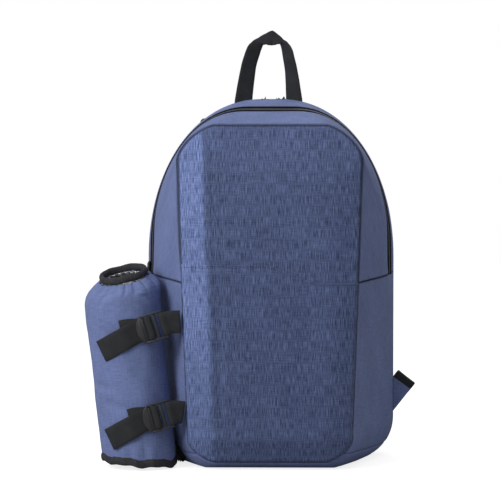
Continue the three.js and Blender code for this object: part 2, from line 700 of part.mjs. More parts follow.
// A wall through the rows of a profile, from one distance inside it to another.
function sleeveWall(rows, near, far) {
  const loops = (by) => rows.map(({ up, radius, gather }) => sleeveRing(up, radius - by, gather));
  return loft([...loops(near), ...loops(far).reverse()], true);
}

function buildSleeve(bag) {
  const sleeve = new THREE.Group();
  const top = SLEEVE_HEIGHT;
  const inner = SLEEVE_PROFILE.slice(3);
  add(sleeve, "sleeve_body", sleeveWall(SLEEVE_PROFILE, 0, SLEEVE_WALL), FABRIC);
  const lined = SLEEVE_WALL + 2 * GAP;
  add(sleeve, "sleeve_lining", sleeveWall(inner, lined, lined + LINING_THICKNESS), FOIL);
  const [halfRim, roll] = [RIM_THICKNESS / 2, RIM_THICKNESS * 0.28];
  const rim = [
    { up: top - RIM_HEIGHT, radius: NECK_RADIUS + halfRim - roll, gather: 0 },
    { up: top - RIM_HEIGHT / 2, radius: NECK_RADIUS + halfRim, gather: 0 },
    { up: top, radius: NECK_RADIUS + halfRim - roll, gather: 0 },
    { up: top, radius: NECK_RADIUS - halfRim + roll, gather: 0 },
    { up: top - RIM_HEIGHT / 2, radius: NECK_RADIUS - halfRim, gather: 0 },
    { up: top - RIM_HEIGHT, radius: NECK_RADIUS - halfRim + roll, gather: 0 },
  ];
  const ringOf = (rows) => loft(rows.map(({ up, radius, gather }) => sleeveRing(up, radius, gather)), true);
  add(sleeve, "sleeve_rim", ringOf(rim), ELASTIC);
  const outer = SLEEVE_RADIUS;
  const hem = [
    { up: 0, radius: outer - HEM_THICKNESS, gather: 0.4 },
    { up: HEM_HEIGHT * 0.25, radius: outer - 0.6, gather: 0.4 },
    { up: HEM_HEIGHT * 0.8, radius: outer, gather: 0.4 },
    { up: HEM_HEIGHT, radius: outer - 0.8, gather: 0.4 },
    { up: HEM_HEIGHT, radius: outer - HEM_THICKNESS, gather: 0.4 },
  ];
  add(sleeve, "sleeve_hem", ringOf(hem), ELASTIC);
  const disc = outer - HEM_THICKNESS - SLEEVE_WALL - 3.5 * GAP;
  const foot = HEM_HEIGHT * 0.35;
  const base = [sleeveRing(foot, disc, 0), sleeveRing(foot + SLEEVE_BASE_THICKNESS, disc, 0)];
  add(sleeve, "sleeve_base", loft(base), FABRIC);
  sleeve.applyMatrix4(sleeveMatrix());
  bag.add(sleeve);
}

function addSleeveStrap(bag, name, strap) {
  const off = GAP + WEB_THICKNESS / 2;
  const axis = onSleeve(0, strap.height - SLEEVE_LIFT, -SLEEVE_RADIUS);
  const angle = THREE.MathUtils.radToDeg(Math.asin(strap.aside / SLEEVE_RADIUS));
  const surface = onSleeve(angle, strap.height - SLEEVE_LIFT, off + LAYER + UNDER + 0.8);
  const tab = vector(axis.x + strap.aside, surface.y, strap.height);
  const slope = radians(strap.slope);
  const seam = seamPoint(strap.seam_height);
  const inward = (seam.y - tab.y) / (seam.x - tab.x);
  const along = vector(Math.cos(slope), inward * Math.cos(slope), Math.sin(slope)).normalize();
  const end = tab.clone().addScaledVector(along, LOCK_LENGTH);
  const frame = lockFrame(tab, end, vector(0, -1, 0));
  const wrapped = (turn, height, outward) => ({
    at: onSleeve(turn, height - SLEEVE_LIFT, outward),
    across: frame.v,
    width: WEB_WIDTH,
  });
  const anchorAt = strap.anchor_height;
  const anchor = [
    wrapped(strap.anchor_angle, anchorAt, off + 1.1),
    wrapped(strap.anchor_angle + 9, lerp(anchorAt, strap.height, 0.5), off + 1.1),
  ];
  const low = strap.height - TAIL_DROP;
  const tail = TAIL_ROWS.map((row) => wrapped(row.turn, lerp(strap.height, low, row.down), off + row.out));
  add(bag, `sleeve_web_${name}`, strip(threadedRows(frame, anchor, tail), WEB_THICKNESS), WEBBING);
  addLock(bag, `sleeve_lock_${name}`, frame);
  const far = { at: seam, across: vector(0, 0, 1), width: WEB_WIDTH };
  add(bag, `bag_web_${name}`, strip(loopedRows(frame, 5, [far]), WEB_THICKNESS), WEBBING);
}

// Where webbing sewn into the left front seam meets it.
function seamPoint(z) {
  const rows = panelRows(FRONT_OUTLINE, EDGE_LIFT);
  const half = between(rows, "height", "half", z);
  return vector(-half - 8 * GAP, frontY(z) - GAP, z);
}

// Webbing from the back of the sleeve to the side of the bag.
function buildRearWeb(bag) {
  const off = GAP + WEB_THICKNESS / 2;
  const z = REAR_WEB.height;
  const up = vector(0, 0, 1);
  const onSide = (y) => ({ at: vector(-sideX(y, z) - off - 2, y, z), across: up, width: WEB_WIDTH });
  const round = (angle) => ({ at: onSleeve(angle, z - SLEEVE_LIFT, off + 1.4), across: up, width: WEB_WIDTH });
  const rows = [round(244), round(231), round(218), onSide(REAR_WEB.bend_y), onSide(REAR_WEB.end_y)];
  add(bag, "rear_web", strip(rows, WEB_THICKNESS), WEBBING);
}

// Webbing across the lower left corner, from the base seam up behind the sleeve.
function buildCornerWeb(bag) {
  const { edge_y: y, edge_z: z, rise, top, base } = CORNER_WEB;
  const block = new THREE.BoxGeometry(FAR, WEB_WIDTH, FAR).translate(0, WEB_WIDTH / 2, 0);
  block.rotateX(-radians(90 - rise)).translate(-FAR / 2, y, z);
  const shell = bandRing(-GAP - WEB_THICKNESS, -GAP).intersect(solidOf(block));
  const lower = shell.intersect(blockBelow(top)).subtract(blockBelow(base));
  add(bag, "corner_web", geometryOf(lower), WEBBING);
}

// Padded shoulder straps. `out` is the distance behind the back panel as a share of the standoff.
const STRAP_ROWS = [
  { aside: 0, out: 0, down: 0, wide: 1 },
  { aside: 0, out: 0.28, down: -0.012, wide: 1 },
  { aside: 0.02, out: 0.6, down: 0.015, wide: 1 },
  { aside: 0.05, out: 0.86, down: 0.09, wide: 1 },
  { aside: 0.12, out: 1, down: 0.22, wide: 1 },
  { aside: 0.22, out: 1.04, down: 0.4, wide: 1 },
  { aside: 0.38, out: 0.96, down: 0.6, wide: 0.95 },
  { aside: 0.62, out: 0.76, down: 0.8, wide: 0.8 },
  { aside: 1, out: 0.52, down: 1, wide: STRAP_END_WIDTH / STRAP_WIDTH },
];

function buildStrap(bag, name, side) {
  const back = backSkinY(0, STRAP_TOP_HEIGHT - STRAP_THICKNESS / 2) + GAP;
  const across = vector(-1, 0, 0);
  const rows = STRAP_ROWS.map(({ aside, out, down, wide }) => {
    const x = lerp(STRAP_TOP_SPREAD, STRAP_END_SPREAD, aside) / 2;
    const top = STRAP_TOP_HEIGHT + STRAP_RAISED[name] * clamp(1 - down * 2, 0, 1);
    return {
      at: vector(side * x, back + out * STRAP_STANDOFF, lerp(top, STRAP_END_HEIGHT, down)),
      across,
      width: STRAP_WIDTH * wide,
    };
  });
  add(bag, `shoulder_strap_${name}`, strip(rows, STRAP_THICKNESS), PLAIN_FABRIC);
  const edgeX = BACK_OUTLINE.halfBase + 3 * GAP;
  const tabY = BACK_Y - BACK_WALL / 2;
  addTab(bag, name, side, edgeX, tabY);
  const hinge = vector(side * (edgeX + TAB_REACH / 2), tabY, (TAB_TOP + TAB_TIP_HEIGHT) / 2);
  const padEnd = rows.at(-1).at;
  const toTab = vector(hinge.x * 0.8, padEnd.y - 10, hinge.z + 15).sub(padEnd).normalize();
  const top = padEnd.clone().addScaledVector(toTab, 16);
  const tip = top.clone().addScaledVector(toTab, LOCK_LENGTH);
  const frame = lockFrame(tip, top, vector(0, 1, 0));
  addLock(bag, `strap_lock_${name}`, frame);
  const last = padEnd.clone().sub(rows.at(-2).at).normalize();
  const level = across.clone().addScaledVector(last, -last.dot(across)).multiplyScalar(Math.sign(-frame.v.x));
  const padRow = { at: padEnd.clone().addScaledVector(last, 2.5 * GAP), across: level, width: WEB_WIDTH };
  const eased = { ...padRow, at: padRow.at.clone().addScaledVector(last, 3) };
  const loop = loopedRows(frame, 2, [eased, padRow]);
  add(bag, `strap_loop_${name}`, strip(loop, WEB_THICKNESS), WEBBING);
  buildStrapWeb(bag, name, side, frame, hinge);
}

// The slack part of a shoulder strap's webbing, from its fold at the tab towards the lock.
const SLACK_ROWS = [
  { inwards: 1, drop: 1, back: 5 },
  { inwards: 8, drop: 10, back: 8.5 },
  { inwards: 17, drop: 15, back: 11 },
  { inwards: 28, drop: 13, back: 14 },
  { inwards: 37, drop: 4, back: 17 },
  { inwards: 43, drop: -10, back: 20 },
];

// Webbing from the tab at the lower corner, folded back behind the bag, through the lock, to its free end.
function buildStrapWeb(bag, name, side, frame, hinge) {
  const slant = vector(side * TAB_REACH, 0, TAB_TIP_HEIGHT - TAB_TOP).normalize();
  const outward = vector(-side * slant.z, 0, side * slant.x);
  const start = hinge.clone().addScaledVector(outward, GAP + 0.2);
  const fold = start.clone().addScaledVector(outward, 7);
  const near = inLock(frame, -6, -UNDER - LAYER).at;
  const slack = SLACK_ROWS.map(({ inwards, drop, back }) =>
    vector(fold.x - side * inwards, fold.y + back, fold.z - drop),
  );
  const line = [start, fold, ...slack, near];
  const turned = frame.v.dot(slant) < 0 ? -1 : 1;
  const before = line.map((at, i) => {
    if (i < 3) return { at, across: slant.clone().multiplyScalar(turned), width: WEB_WIDTH };
    const along = (line[i + 1] ?? frame.u.clone().multiplyScalar(6).add(at)).clone().sub(line[i - 1]);
    const across = vector(along.z, 0, -along.x).normalize();
    if (across.dot(frame.v) < 0) across.negate();
    return { at, across, width: WEB_WIDTH };
  });
  const row = (at, across) => ({ at, across, width: WEB_WIDTH });
  const from = inLock(frame, -6, -UNDER).at;
  const after = [0.15, 0.45, 1].map((share) =>
    row(vector(from.x, from.y + 4 * share, lerp(from.z, STRAP_TAIL_HEIGHT, share)), frame.v),
  );
  add(bag, `strap_web_${name}`, strip(threadedRows(frame, before, after), WEB_THICKNESS), WEBBING);
}

function addTab(bag, name, side, edgeX, tabY) {
  const tab = new THREE.Shape();
  tab.moveTo(0, TAB_BASE).lineTo(TAB_REACH, TAB_TIP_HEIGHT).lineTo(0, TAB_TOP);
  const flat = new THREE.ExtrudeGeometry(tab, { depth: TAB_THICKNESS, bevelEnabled: false });
  flat.translate(0, 0, -TAB_THICKNESS / 2).rotateX(Math.PI / 2);
  if (side < 0) flat.rotateZ(Math.PI);
  add(bag, `strap_tab_${name}`, flat, FABRIC).position.set(side * edgeX, tabY, 0);
}

const bag = new THREE.Group();
buildPanels(bag);
buildBand(bag);
buildZip(bag);
buildHandle(bag);
buildStrap(bag, "left", -1);
buildStrap(bag, "right", 1);
buildSleeve(bag);
addSleeveStrap(bag, "upper", SLEEVE_STRAPS.upper);
addSleeveStrap(bag, "lower", SLEEVE_STRAPS.lower);
buildRearWeb(bag);
buildCornerWeb(bag);

export default bag;
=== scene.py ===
import math
from collections import namedtuple

import bmesh
import bpy
from bpy.props import FloatProperty, FloatVectorProperty, PointerProperty
from mathutils import Matrix, Vector, kdtree, noise


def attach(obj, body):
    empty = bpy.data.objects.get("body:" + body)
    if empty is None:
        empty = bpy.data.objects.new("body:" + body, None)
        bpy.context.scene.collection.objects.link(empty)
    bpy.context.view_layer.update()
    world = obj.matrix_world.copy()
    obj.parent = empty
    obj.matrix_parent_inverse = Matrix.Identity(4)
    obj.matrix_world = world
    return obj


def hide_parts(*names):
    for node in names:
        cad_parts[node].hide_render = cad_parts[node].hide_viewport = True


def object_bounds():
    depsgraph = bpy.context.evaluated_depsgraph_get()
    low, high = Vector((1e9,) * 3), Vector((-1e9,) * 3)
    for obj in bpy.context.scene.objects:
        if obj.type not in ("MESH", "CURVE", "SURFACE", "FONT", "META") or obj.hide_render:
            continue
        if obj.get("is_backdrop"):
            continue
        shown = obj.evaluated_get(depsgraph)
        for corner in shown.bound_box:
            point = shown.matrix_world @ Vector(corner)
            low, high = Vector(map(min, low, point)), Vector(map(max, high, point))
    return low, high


bl_info = {
    "name": "Cooler backpack",
    "version": (1, 0, 0),
    "blender": (4, 5, 0),
    "location": "View3D > Sidebar > Cooler bag",
    "description": "Sewn fabric, webbing, zip and locks of a cooler backpack with a bottle sleeve",
    "category": "Add Mesh",
}

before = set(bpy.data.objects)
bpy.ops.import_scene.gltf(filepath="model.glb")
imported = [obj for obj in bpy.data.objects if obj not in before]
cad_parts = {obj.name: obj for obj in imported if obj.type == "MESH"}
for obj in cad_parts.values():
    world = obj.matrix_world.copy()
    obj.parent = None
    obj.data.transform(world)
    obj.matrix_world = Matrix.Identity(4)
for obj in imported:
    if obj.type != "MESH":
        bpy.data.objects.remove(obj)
CAD_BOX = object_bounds()
MM = 0.001


# Sizes and colours that a user would change


def length(name, description, default, **limits):
    kind = {"subtype": "DISTANCE", "unit": "LENGTH"}
    return FloatProperty(name=name, description=description, default=default, **kind, **limits)


def colour(name, description, default):
    return FloatVectorProperty(
        name=name, description=description, default=default, size=3, min=0.0, max=1.0, subtype="COLOR"
    )


class BagSewing(bpy.types.PropertyGroup):
    """Sizes of the seams, folds and threads."""

    seam_roll: length("Seam roll", "Radius at which a panel's edge turns into its seam", 3.2 * MM, min=0.0)
    fold_depth: length("Fold depth", "Depth of the soft folds in the fabric", 0.9 * MM, min=0.0)
    gather_depth: length("Gather depth", "Depth of the gathers below the sleeve's rim", 3.2 * MM, min=0.0)
    stitch_length: length("Stitch length", "Length of one stitch on the surface", 2.6 * MM, min=0.1 * MM)
    stitch_gap: length("Stitch gap", "Distance between one stitch and the next", 0.9 * MM, min=0.0)
    thread_width: length("Thread width", "Thickness of the sewing thread", 0.55 * MM, min=0.05 * MM)
    tooth_pitch: length("Tooth pitch", "Distance between the teeth of the zip", 1.6 * MM, min=0.2 * MM)


class BagWeave(bpy.types.PropertyGroup):
    """Sizes of the threads in the fabric and the webbing."""

    streak_width: length("Streak width", "Width of a light or dark thread in the fabric", 0.7 * MM, min=0.1 * MM)
    streak_length: length("Streak length", "Length over which a thread keeps its tone", 12 * MM, min=0.1 * MM)
    weave_pitch: length("Weave pitch", "Distance between two threads of the fabric", 0.62 * MM, min=0.1 * MM)
    rib_pitch: length("Rib pitch", "Distance between two ribs of the webbing", 1.3 * MM, min=0.1 * MM)


class BagColours(bpy.types.PropertyGroup):
    """Colours of the finishes."""

    front_light: colour("Front, light thread", "Light thread of the front fabric", (0.115, 0.152, 0.300))
    front_dark: colour("Front, dark thread", "Dark thread of the front fabric", (0.028, 0.040, 0.092))
    side_light: colour("Sides, light thread", "Light thread of the other fabric", (0.172, 0.218, 0.425))
    side_dark: colour("Sides, dark thread", "Dark thread of the other fabric", (0.104, 0.136, 0.280))
    webbing: colour("Webbing", "Webbing of the handle and straps", (0.020, 0.021, 0.024))
    elastic: colour("Elastic binding", "Binding of the sleeve's mouth and foot", (0.032, 0.032, 0.037))
    plastic: colour("Plastic", "Locks and zip slider", (0.020, 0.021, 0.024))
    zip_tape: colour("Zip", "Tape and teeth of the zip", (0.012, 0.012, 0.014))
    foil: colour("Foil", "Lining of the sleeve", (0.80, 0.81, 0.83))
    thread: colour("Sewing thread", "Thread of the seams", (0.105, 0.135, 0.260))


class BagStudio(bpy.types.PropertyGroup):
    """Camera and light."""

    distance: length("Camera distance", "From the camera to the point that it looks at", 2.3, min=0.1)
    azimuth: FloatProperty(
        name="Azimuth", description="Turn of the camera round the bag", default=math.radians(1.0), subtype="ANGLE"
    )
    elevation: FloatProperty(
        name="Elevation", description="Height of the camera over the bag", default=math.radians(2.0), subtype="ANGLE"
    )
    lens: FloatProperty(
        name="Lens", description="Focal length", default=147.6, min=1.0, subtype="DISTANCE_CAMERA", unit="CAMERA"
    )
    ambient: FloatProperty(name="Ambient light", description="Light from all round", default=0.45, min=0.0)
    key: FloatProperty(name="Key light", description="Light from the left front", default=34.0, min=0.0, unit="POWER")
    top: FloatProperty(name="Top light", description="Light from above", default=5.5, min=0.0, unit="POWER")
    back: FloatProperty(name="Back light", description="Light from behind", default=9.0, min=0.0, unit="POWER")


# The bag's shape, in millimetres as in the solids. A place on an outline runs from 0 at the middle of the base
# to 26 at the middle of the top.

Outline = namedtuple("Outline", "half_base half_top flat_half base top arch_start corner_wide corner_tall power")
FRONT = Outline(90, 101.5, 62, 0, 376, 339, 30, 32, 1.5)
BACK = Outline(142, 142, 10, 0, 409, 224, 31, 43, 2.1)
CORNER, SIDE, ARCH, TOP, END = 3, 8, 15, 24, 26
BAG_HEIGHT = 409
BACK_Y = 80
FRONT_BULGE, BACK_BULGE = 9, 6
BAND_FRONT, BAND_BACK = 2.8, 74.7
SEAM_FRONT, SEAM_BACK = 203.5, 211.5  # height of the seam in the sides, at the front and at the back
ZIP_Y = 40


def lerp(a, b, share):
    return a + (b - a) * share


def clamp(value, low=0.0, high=1.0):
    return min(max(value, low), high)


def smooth(value, low, high):
    share = clamp((value - low) / (high - low))
    return share * share * (3 - 2 * share)


def bump(value, middle, width):
    """A smooth hump of height 1 round a middle."""
    return math.exp(-(((value - middle) / width) ** 2))


def soft_min(a, b, radius):
    """The lesser of two values, rounded where they cross."""
    blend = clamp(0.5 + (b - a) / (2 * radius))
    return lerp(b, a, blend) - radius * blend * (1 - blend)


def between(rows, at):
    """A value between the rows of a table of pairs."""
    if at <= rows[0][0]:
        return rows[0][1]
    for (a, low), (b, high) in zip(rows, rows[1:]):
        if at <= b:
            return lerp(low, high, (at - a) / (b - a))
    return rows[-1][1]


def steps(*knots):
    """Values from the first knot on, where each later knot is (value, number of steps to it)."""
    values = [knots[0]]
    for value, count in knots[1:]:
        start = values[-1]
        values += [lerp(start, value, (i + 1) / count) for i in range(count)]
    return values


def quarter(share, power):
    """How far across and up a quarter of a superellipse is at a share of its turn."""
    angle = share * math.pi / 2
    return max(math.cos(angle), 0.0) ** (2 / power), math.sin(angle) ** (2 / power)


def outline_point(o, t, inset=0.0):
    half_base, half_top = o.half_base - inset, o.half_top - inset
    base, top = o.base + inset, o.top - inset
    wide, tall = o.corner_wide - inset, o.corner_tall - inset
    if t < CORNER:
        return (half_base - wide) * t / CORNER, base
    if t < SIDE:
        across, up = quarter((t - CORNER) / (SIDE - CORNER), o.power)
        return half_base - wide + wide * up, base + tall - tall * across
    if t < ARCH:
        share = (t - SIDE) / (ARCH - SIDE)
        return lerp(half_base, half_top, share), lerp(base + tall, o.arch_start, share)
    if t < TOP:
        across, up = quarter((t - ARCH) / (TOP - ARCH), o.power)
        return lerp(o.flat_half, half_top, across), lerp(o.arch_start, top, up)
    return o.flat_half * (1 - (t - TOP) / (END - TOP)), top


def front_y(z):
    return -BACK_Y + 42 * clamp((z - 150) / 226) ** 2


def base_lift(share, z):
    lift = 8 * max(0.0, 1 - share / 0.14) ** 2 + 2 * max(0.0, 1 - (1 - share) / 0.14) ** 2
    return lift * clamp(1 - z / 32)


def fullness(z):
    share = z / BAG_HEIGHT
    belly = max(smooth(share, 0.3, 0.58), 0.7 * (1 - smooth(share, 0, 0.08)))
    return 0.2 * belly * (1 - smooth(share, 0.7, 0.98))


def band_point(t, share, inset=0.0):
    """A point of the band between the front and the back seam, at a place round it and a share of its depth."""
    fx, fz = outline_point(FRONT, abs(t), inset)
    bx, bz = outline_point(BACK, abs(t), inset)
    spread = share + fullness((fz + bz) / 2) * math.sin(math.pi * share)
    z = lerp(fz, bz, spread)
    x = math.copysign(lerp(fx, bx, spread), t)
    return Vector((x, lerp(front_y(fz) + BAND_FRONT, BAND_BACK, share), z + base_lift(share, z)))


def band_share(t, y):
    """The share of the band's depth that lies at a depth y."""
    near = front_y(outline_point(FRONT, abs(t))[1]) + BAND_FRONT
    return clamp((y - near) / (BAND_BACK - near))


def side_x(y, z):
    """Half the bag's width at a depth and a height on its side."""
    low, high = SIDE - 3.0, float(TOP)
    for _ in range(30):
        t = (low + high) / 2
        point = band_point(t, band_share(t, y))
        low, high = (t, high) if point.z < z else (low, t)
    return point.x


# Meshes


def map_grid(columns, rows, place, cloth):
    """A grid of quads: each vertex goes where place says for its column and row, and its UV where cloth says."""
    bm = bmesh.new()
    wide, tall = len(columns) - 1, len(rows) - 1
    bmesh.ops.create_grid(bm, x_segments=wide, y_segments=tall, size=1.0)
    layer = bm.loops.layers.uv.new("cloth")
    at = {}
    for v in bm.verts:
        at[v] = columns[round((v.co.x + 1) / 2 * wide)], rows[round((v.co.y + 1) / 2 * tall)]
    for face in bm.faces:
        for loop in face.loops:
            loop[layer].uv = Vector(cloth(*at[loop.vert])) * MM
    for v in bm.verts:
        v.co = place(*at[v]) * MM
    return bm


def split_at(bm, height_of, offsets, keep=None):
    """Cuts rows of edges at offsets from a sloping seam, and keeps what lies above (1) or below (-1) it."""
    y = BACK_Y * MM
    low, high = Vector((0, -y, height_of(-BACK_Y) * MM)), Vector((0, y, height_of(BACK_Y) * MM))
    normal = Vector((1, 0, 0)).cross(high - low).normalized()
    for offset in offsets:
        bmesh.ops.bisect_plane(
            bm,
            geom=all_of(bm),
            dist=1e-6,
            plane_co=low + normal * offset * MM,
            plane_no=normal,
            clear_inner=keep == 1 and offset == 0,
            clear_outer=keep == -1 and offset == 0,
        )
    return low, normal


def into_seam(distance, radius, deep=1.0):
    """How far a rolled edge has turned in at a distance from its seam."""
    if distance >= radius:
        return 0.0
    return deep * (radius - math.sqrt(max(radius**2 - (radius - max(distance, 0.0)) ** 2, 0.0)))


def push(bm, depth_of):
    """Moves each vertex inwards along its normal by the millimetres that depth_of gives for its place."""
    bm.normal_update()
    moves = [(v, v.normal * (-depth_of(v.co / MM) * MM)) for v in bm.verts]
    for v, move in moves:
        v.co += move


def piece(name, bm, material, nodes):
    """Makes an object of a mesh, which stands for the named solids and rides with the bag."""
    mesh = bpy.data.meshes.new(name)
    bm.to_mesh(mesh)
    bm.free()
    obj = add_object(name, mesh)
    mesh.polygons.foreach_set("use_smooth", [True] * len(mesh.polygons))
    mesh.materials.append(material)
    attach(obj, "root")
    if nodes:
        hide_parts(*nodes)
    return obj


def thicken(obj, thickness, offset=-1.0):
    modifier = obj.modifiers.new("Wall", "SOLIDIFY")
    modifier.thickness, modifier.offset = thickness * MM, offset


def refine(obj):
    modifier = obj.modifiers.new("Smooth", "SUBSURF")
    modifier.levels = modifier.render_levels = 1


def all_of(bm):
    return bm.verts[:] + bm.edges[:] + bm.faces[:]


def close_ends(bm):
    """Joins the seam of a tube and caps its ends."""
    bmesh.ops.remove_doubles(bm, verts=bm.verts[:], dist=1e-7)
    bmesh.ops.holes_fill(bm, edges=[e for e in bm.edges if e.is_boundary], sides=0)
    bmesh.ops.recalc_face_normals(bm, faces=bm.faces[:])


def face_towards(bm, direction):
    """Turns the faces so that on the whole they look in a direction."""
    if sum(f.normal.dot(direction) for f in bm.faces) < 0:
        bmesh.ops.reverse_faces(bm, faces=bm.faces[:])


def extruded(bm, move):
    """Extrudes all faces by a vector into a closed body."""
    up = bmesh.ops.extrude_face_region(bm, geom=bm.faces[:])
    bmesh.ops.translate(bm, vec=move, verts=[v for v in up["geom"] if isinstance(v, bmesh.types.BMVert)])
    bmesh.ops.recalc_face_normals(bm, faces=bm.faces[:])


def add_object(name, data):
    obj = bpy.data.objects.new(name, data)
    bpy.context.scene.collection.objects.link(obj)
    return obj


def outward(bm):
    bmesh.ops.remove_doubles(bm, verts=bm.verts[:], dist=1e-6)
    bmesh.ops.recalc_face_normals(bm, faces=bm.faces[:])


# Materials


class Shader:
    """A tree of shader nodes, to which nodes are added with what feeds their inputs."""

    def __init__(self, tree):
        self.tree = tree

    def node(self, kind, inputs=(), **settings):
        node = self.tree.nodes.new(kind)
        for key, value in settings.items():
            setattr(node, key, value)
        for key, value in dict(inputs).items():
            if isinstance(value, bpy.types.NodeSocket):
                self.tree.links.new(value, node.inputs[key])
            else:
                node.inputs[key].default_value = value
        return node

    def math(self, operation, *values):
        return self.node("ShaderNodeMath", enumerate(values), operation=operation).outputs[0]

    def noise(self, vector, scale, detail=2.0, roughness=0.5):
        inputs = {"Vector": vector, "Scale": scale, "Detail": detail, "Roughness": roughness}
        return self.node("ShaderNodeTexNoise", inputs).outputs["Fac"]

    def remap(self, value, low, high, to_low=0.0, to_high=1.0):
        inputs = {"Value": value, 1: low, 2: high, 3: to_low, 4: to_high}
        return self.node("ShaderNodeMapRange", inputs).outputs["Result"]

    def mix(self, share, a, b, blend="MIX"):
        inputs = {0: share, 6: a, 7: b}
        return self.node("ShaderNodeMix", inputs, data_type="RGBA", blend_type=blend).outputs[2]

    def parts(self, vector):
        return self.node("ShaderNodeSeparateXYZ", {0: vector}).outputs

    def vector(self, x, y, z=0.0):
        return self.node("ShaderNodeCombineXYZ", {0: x, 1: y, 2: z}).outputs[0]

    def group(self, name, inputs):
        return self.node("ShaderNodeGroup", inputs, node_tree=effect(name)).outputs


def new_group(name, inputs, outputs):
    tree = bpy.data.node_groups.new(name, "ShaderNodeTree")
    for direction, sockets in (("INPUT", inputs), ("OUTPUT", outputs)):
        for socket, (kind, value) in sockets.items():
            made = tree.interface.new_socket(socket, in_out=direction, socket_type="NodeSocket" + kind)
            if direction == "INPUT" and value is not None:
                made.default_value = value
    shader = Shader(tree)
    return shader, shader.node("NodeGroupInput").outputs, shader.node("NodeGroupOutput")


def heather_weave():
    """Two sets of crossing threads whose tone changes along them."""
    shader, given, out = new_group(
        "Heather weave",
        {
            "Vector": ("Vector", None),
            "Streak Width": ("Float", 1.1 * MM),
            "Streak Length": ("Float", 9 * MM),
            "Weave Pitch": ("Float", 0.6 * MM),
            "Weft Share": ("Float", 0.4),
            "Contrast": ("Float", 1.0),
            "Painted Light": ("Float", 0.0),
            "Light": ("Color", (1, 1, 1, 1)),
            "Dark": ("Color", (0, 0, 0, 1)),
        },
        {"Color": ("Color", None), "Height": ("Float", None), "Roughness": ("Float", None)},
    )
    u, v, _ = shader.parts(given["Vector"])
    wide, long = given["Streak Width"], given["Streak Length"]

    def streaks(wide_u, wide_v, apart):
        place = shader.vector(shader.math("DIVIDE", u, wide_u), shader.math("DIVIDE", v, wide_v), apart)
        return shader.noise(place, 1.0, 1.5, 0.6)

    warp, weft = streaks(wide, long, 0.0), streaks(long, wide, 7.3)
    weft_share = shader.math("MULTIPLY", given["Weft Share"], shader.math("SUBTRACT", weft, 0.5))
    threads = shader.math("ADD", warp, weft_share)
    contrast = shader.math("MULTIPLY", given["Contrast"], 2.6)
    tone = shader.math("ADD", shader.math("MULTIPLY", shader.math("SUBTRACT", threads, 0.5), contrast), 0.45)
    pitch = shader.math("DIVIDE", 2 * math.pi, given["Weave Pitch"])
    over = shader.math(
        "MULTIPLY",
        shader.math("SINE", shader.math("MULTIPLY", u, pitch)),
        shader.math("SINE", shader.math("MULTIPLY", v, pitch)),
    )
    clamped = shader.node("ShaderNodeClamp", {0: tone}).outputs[0]
    tree = shader.tree
    # Painted light: the thread colour is raised by the painted light marked on the cloth, so the left facet looks lit
    light_gain = shader.math("ADD", 1.0, given["Painted Light"])
    thread = shader.mix(clamped, given["Dark"], given["Light"])
    raised = shader.mix(1.0, thread, shader.vector(light_gain, light_gain, light_gain), "MULTIPLY")
    tree.links.new(raised, out.inputs["Color"])
    height = shader.math("ADD", shader.math("MULTIPLY", over, 0.35), shader.math("MULTIPLY", threads, 1.1))
    tree.links.new(height, out.inputs["Height"])
    tree.links.new(shader.remap(clamped, 0.0, 1.0, 0.92, 0.78), out.inputs["Roughness"])
    return tree


def ribbed_webbing():
    """Rows of short threads, each row half a step on from the last."""
    shader, given, out = new_group(
        "Webbing ribs",
        {"Vector": ("Vector", None), "Pitch": ("Float", 1.3 * MM), "Color": ("Color", (0.02, 0.02, 0.02, 1))},
        {"Color": ("Color", None), "Height": ("Float", None), "Roughness": ("Float", None)},
    )
    u, v, _ = shader.parts(given["Vector"])
    turns = shader.math("DIVIDE", math.pi, given["Pitch"])
    across = shader.math("MULTIPLY", u, turns)
    row = shader.math("FLOOR", shader.math("DIVIDE", u, given["Pitch"]))
    along = shader.math("ADD", shader.math("MULTIPLY", v, turns), shader.math("MULTIPLY", row, math.pi / 2))
    ribs = shader.math("ABSOLUTE", shader.math("SINE", across))
    bumps = shader.math("ABSOLUTE", shader.math("SINE", along))
    height = shader.math("MULTIPLY", ribs, shader.math("ADD", 0.45, shader.math("MULTIPLY", bumps, 0.55)))
    fibre = shader.noise(given["Vector"], 1400.0, 2.0)
    # Partly painted shade: the colour is darker in the grooves between ribs and lighter on their tops; the fibre
    # noise is a random tone
    tone = shader.remap(shader.math("ADD", height, shader.math("MULTIPLY", fibre, 0.5)), 0.25, 1.3, 0.55, 1.5)
    links = shader.tree.links
    shaded = shader.mix(1.0, given["Color"], shader.vector(tone, tone, tone), "MULTIPLY")
    links.new(shaded, out.inputs["Color"])
    links.new(height, out.inputs["Height"])
    links.new(shader.remap(fibre, 0.3, 0.7, 0.62, 0.86), out.inputs["Roughness"])
    return shader.tree


def cloud_tone():
    """Soft changes of tone over some centimetres, with finer dust in them."""
    shader, given, out = new_group(
        "Cloud tone",
        {
            "Vector": ("Vector", None),
            "Scale": ("Float", 22.0),
            "Amount": ("Float", 0.1),
            "Color": ("Color", (1, 1, 1, 1)),
        },
        {"Color": ("Color", None), "Mask": ("Float", None)},
    )
    cloud = shader.noise(given["Vector"], given["Scale"], 3.0)
    low, high = shader.math("SUBTRACT", 1.0, given["Amount"]), shader.math("ADD", 1.0, given["Amount"])
    tone = shader.remap(cloud, 0.3, 0.7, low, high)
    toned = shader.mix(1.0, given["Color"], shader.vector(tone, tone, tone), "MULTIPLY")
    shader.tree.links.new(toned, out.inputs["Color"])
    shader.tree.links.new(cloud, out.inputs["Mask"])
    return shader.tree


EFFECTS = {"Heather weave": heather_weave, "Webbing ribs": ribbed_webbing, "Cloud tone": cloud_tone}


def effect(name):
    return bpy.data.node_groups.get(name) or EFFECTS[name]()


def opaque(rgb):
    return (*rgb, 1.0)


def finish_material(name, **sockets):
    """A new material, its shader tree and its surface."""
    material = bpy.data.materials.new(name)
    material.use_nodes = True
    surface = material.node_tree.nodes["Principled BSDF"]
    for key, value in sockets.items():
        surface.inputs[key.replace("_", " ")].default_value = value
    return material, Shader(material.node_tree), surface


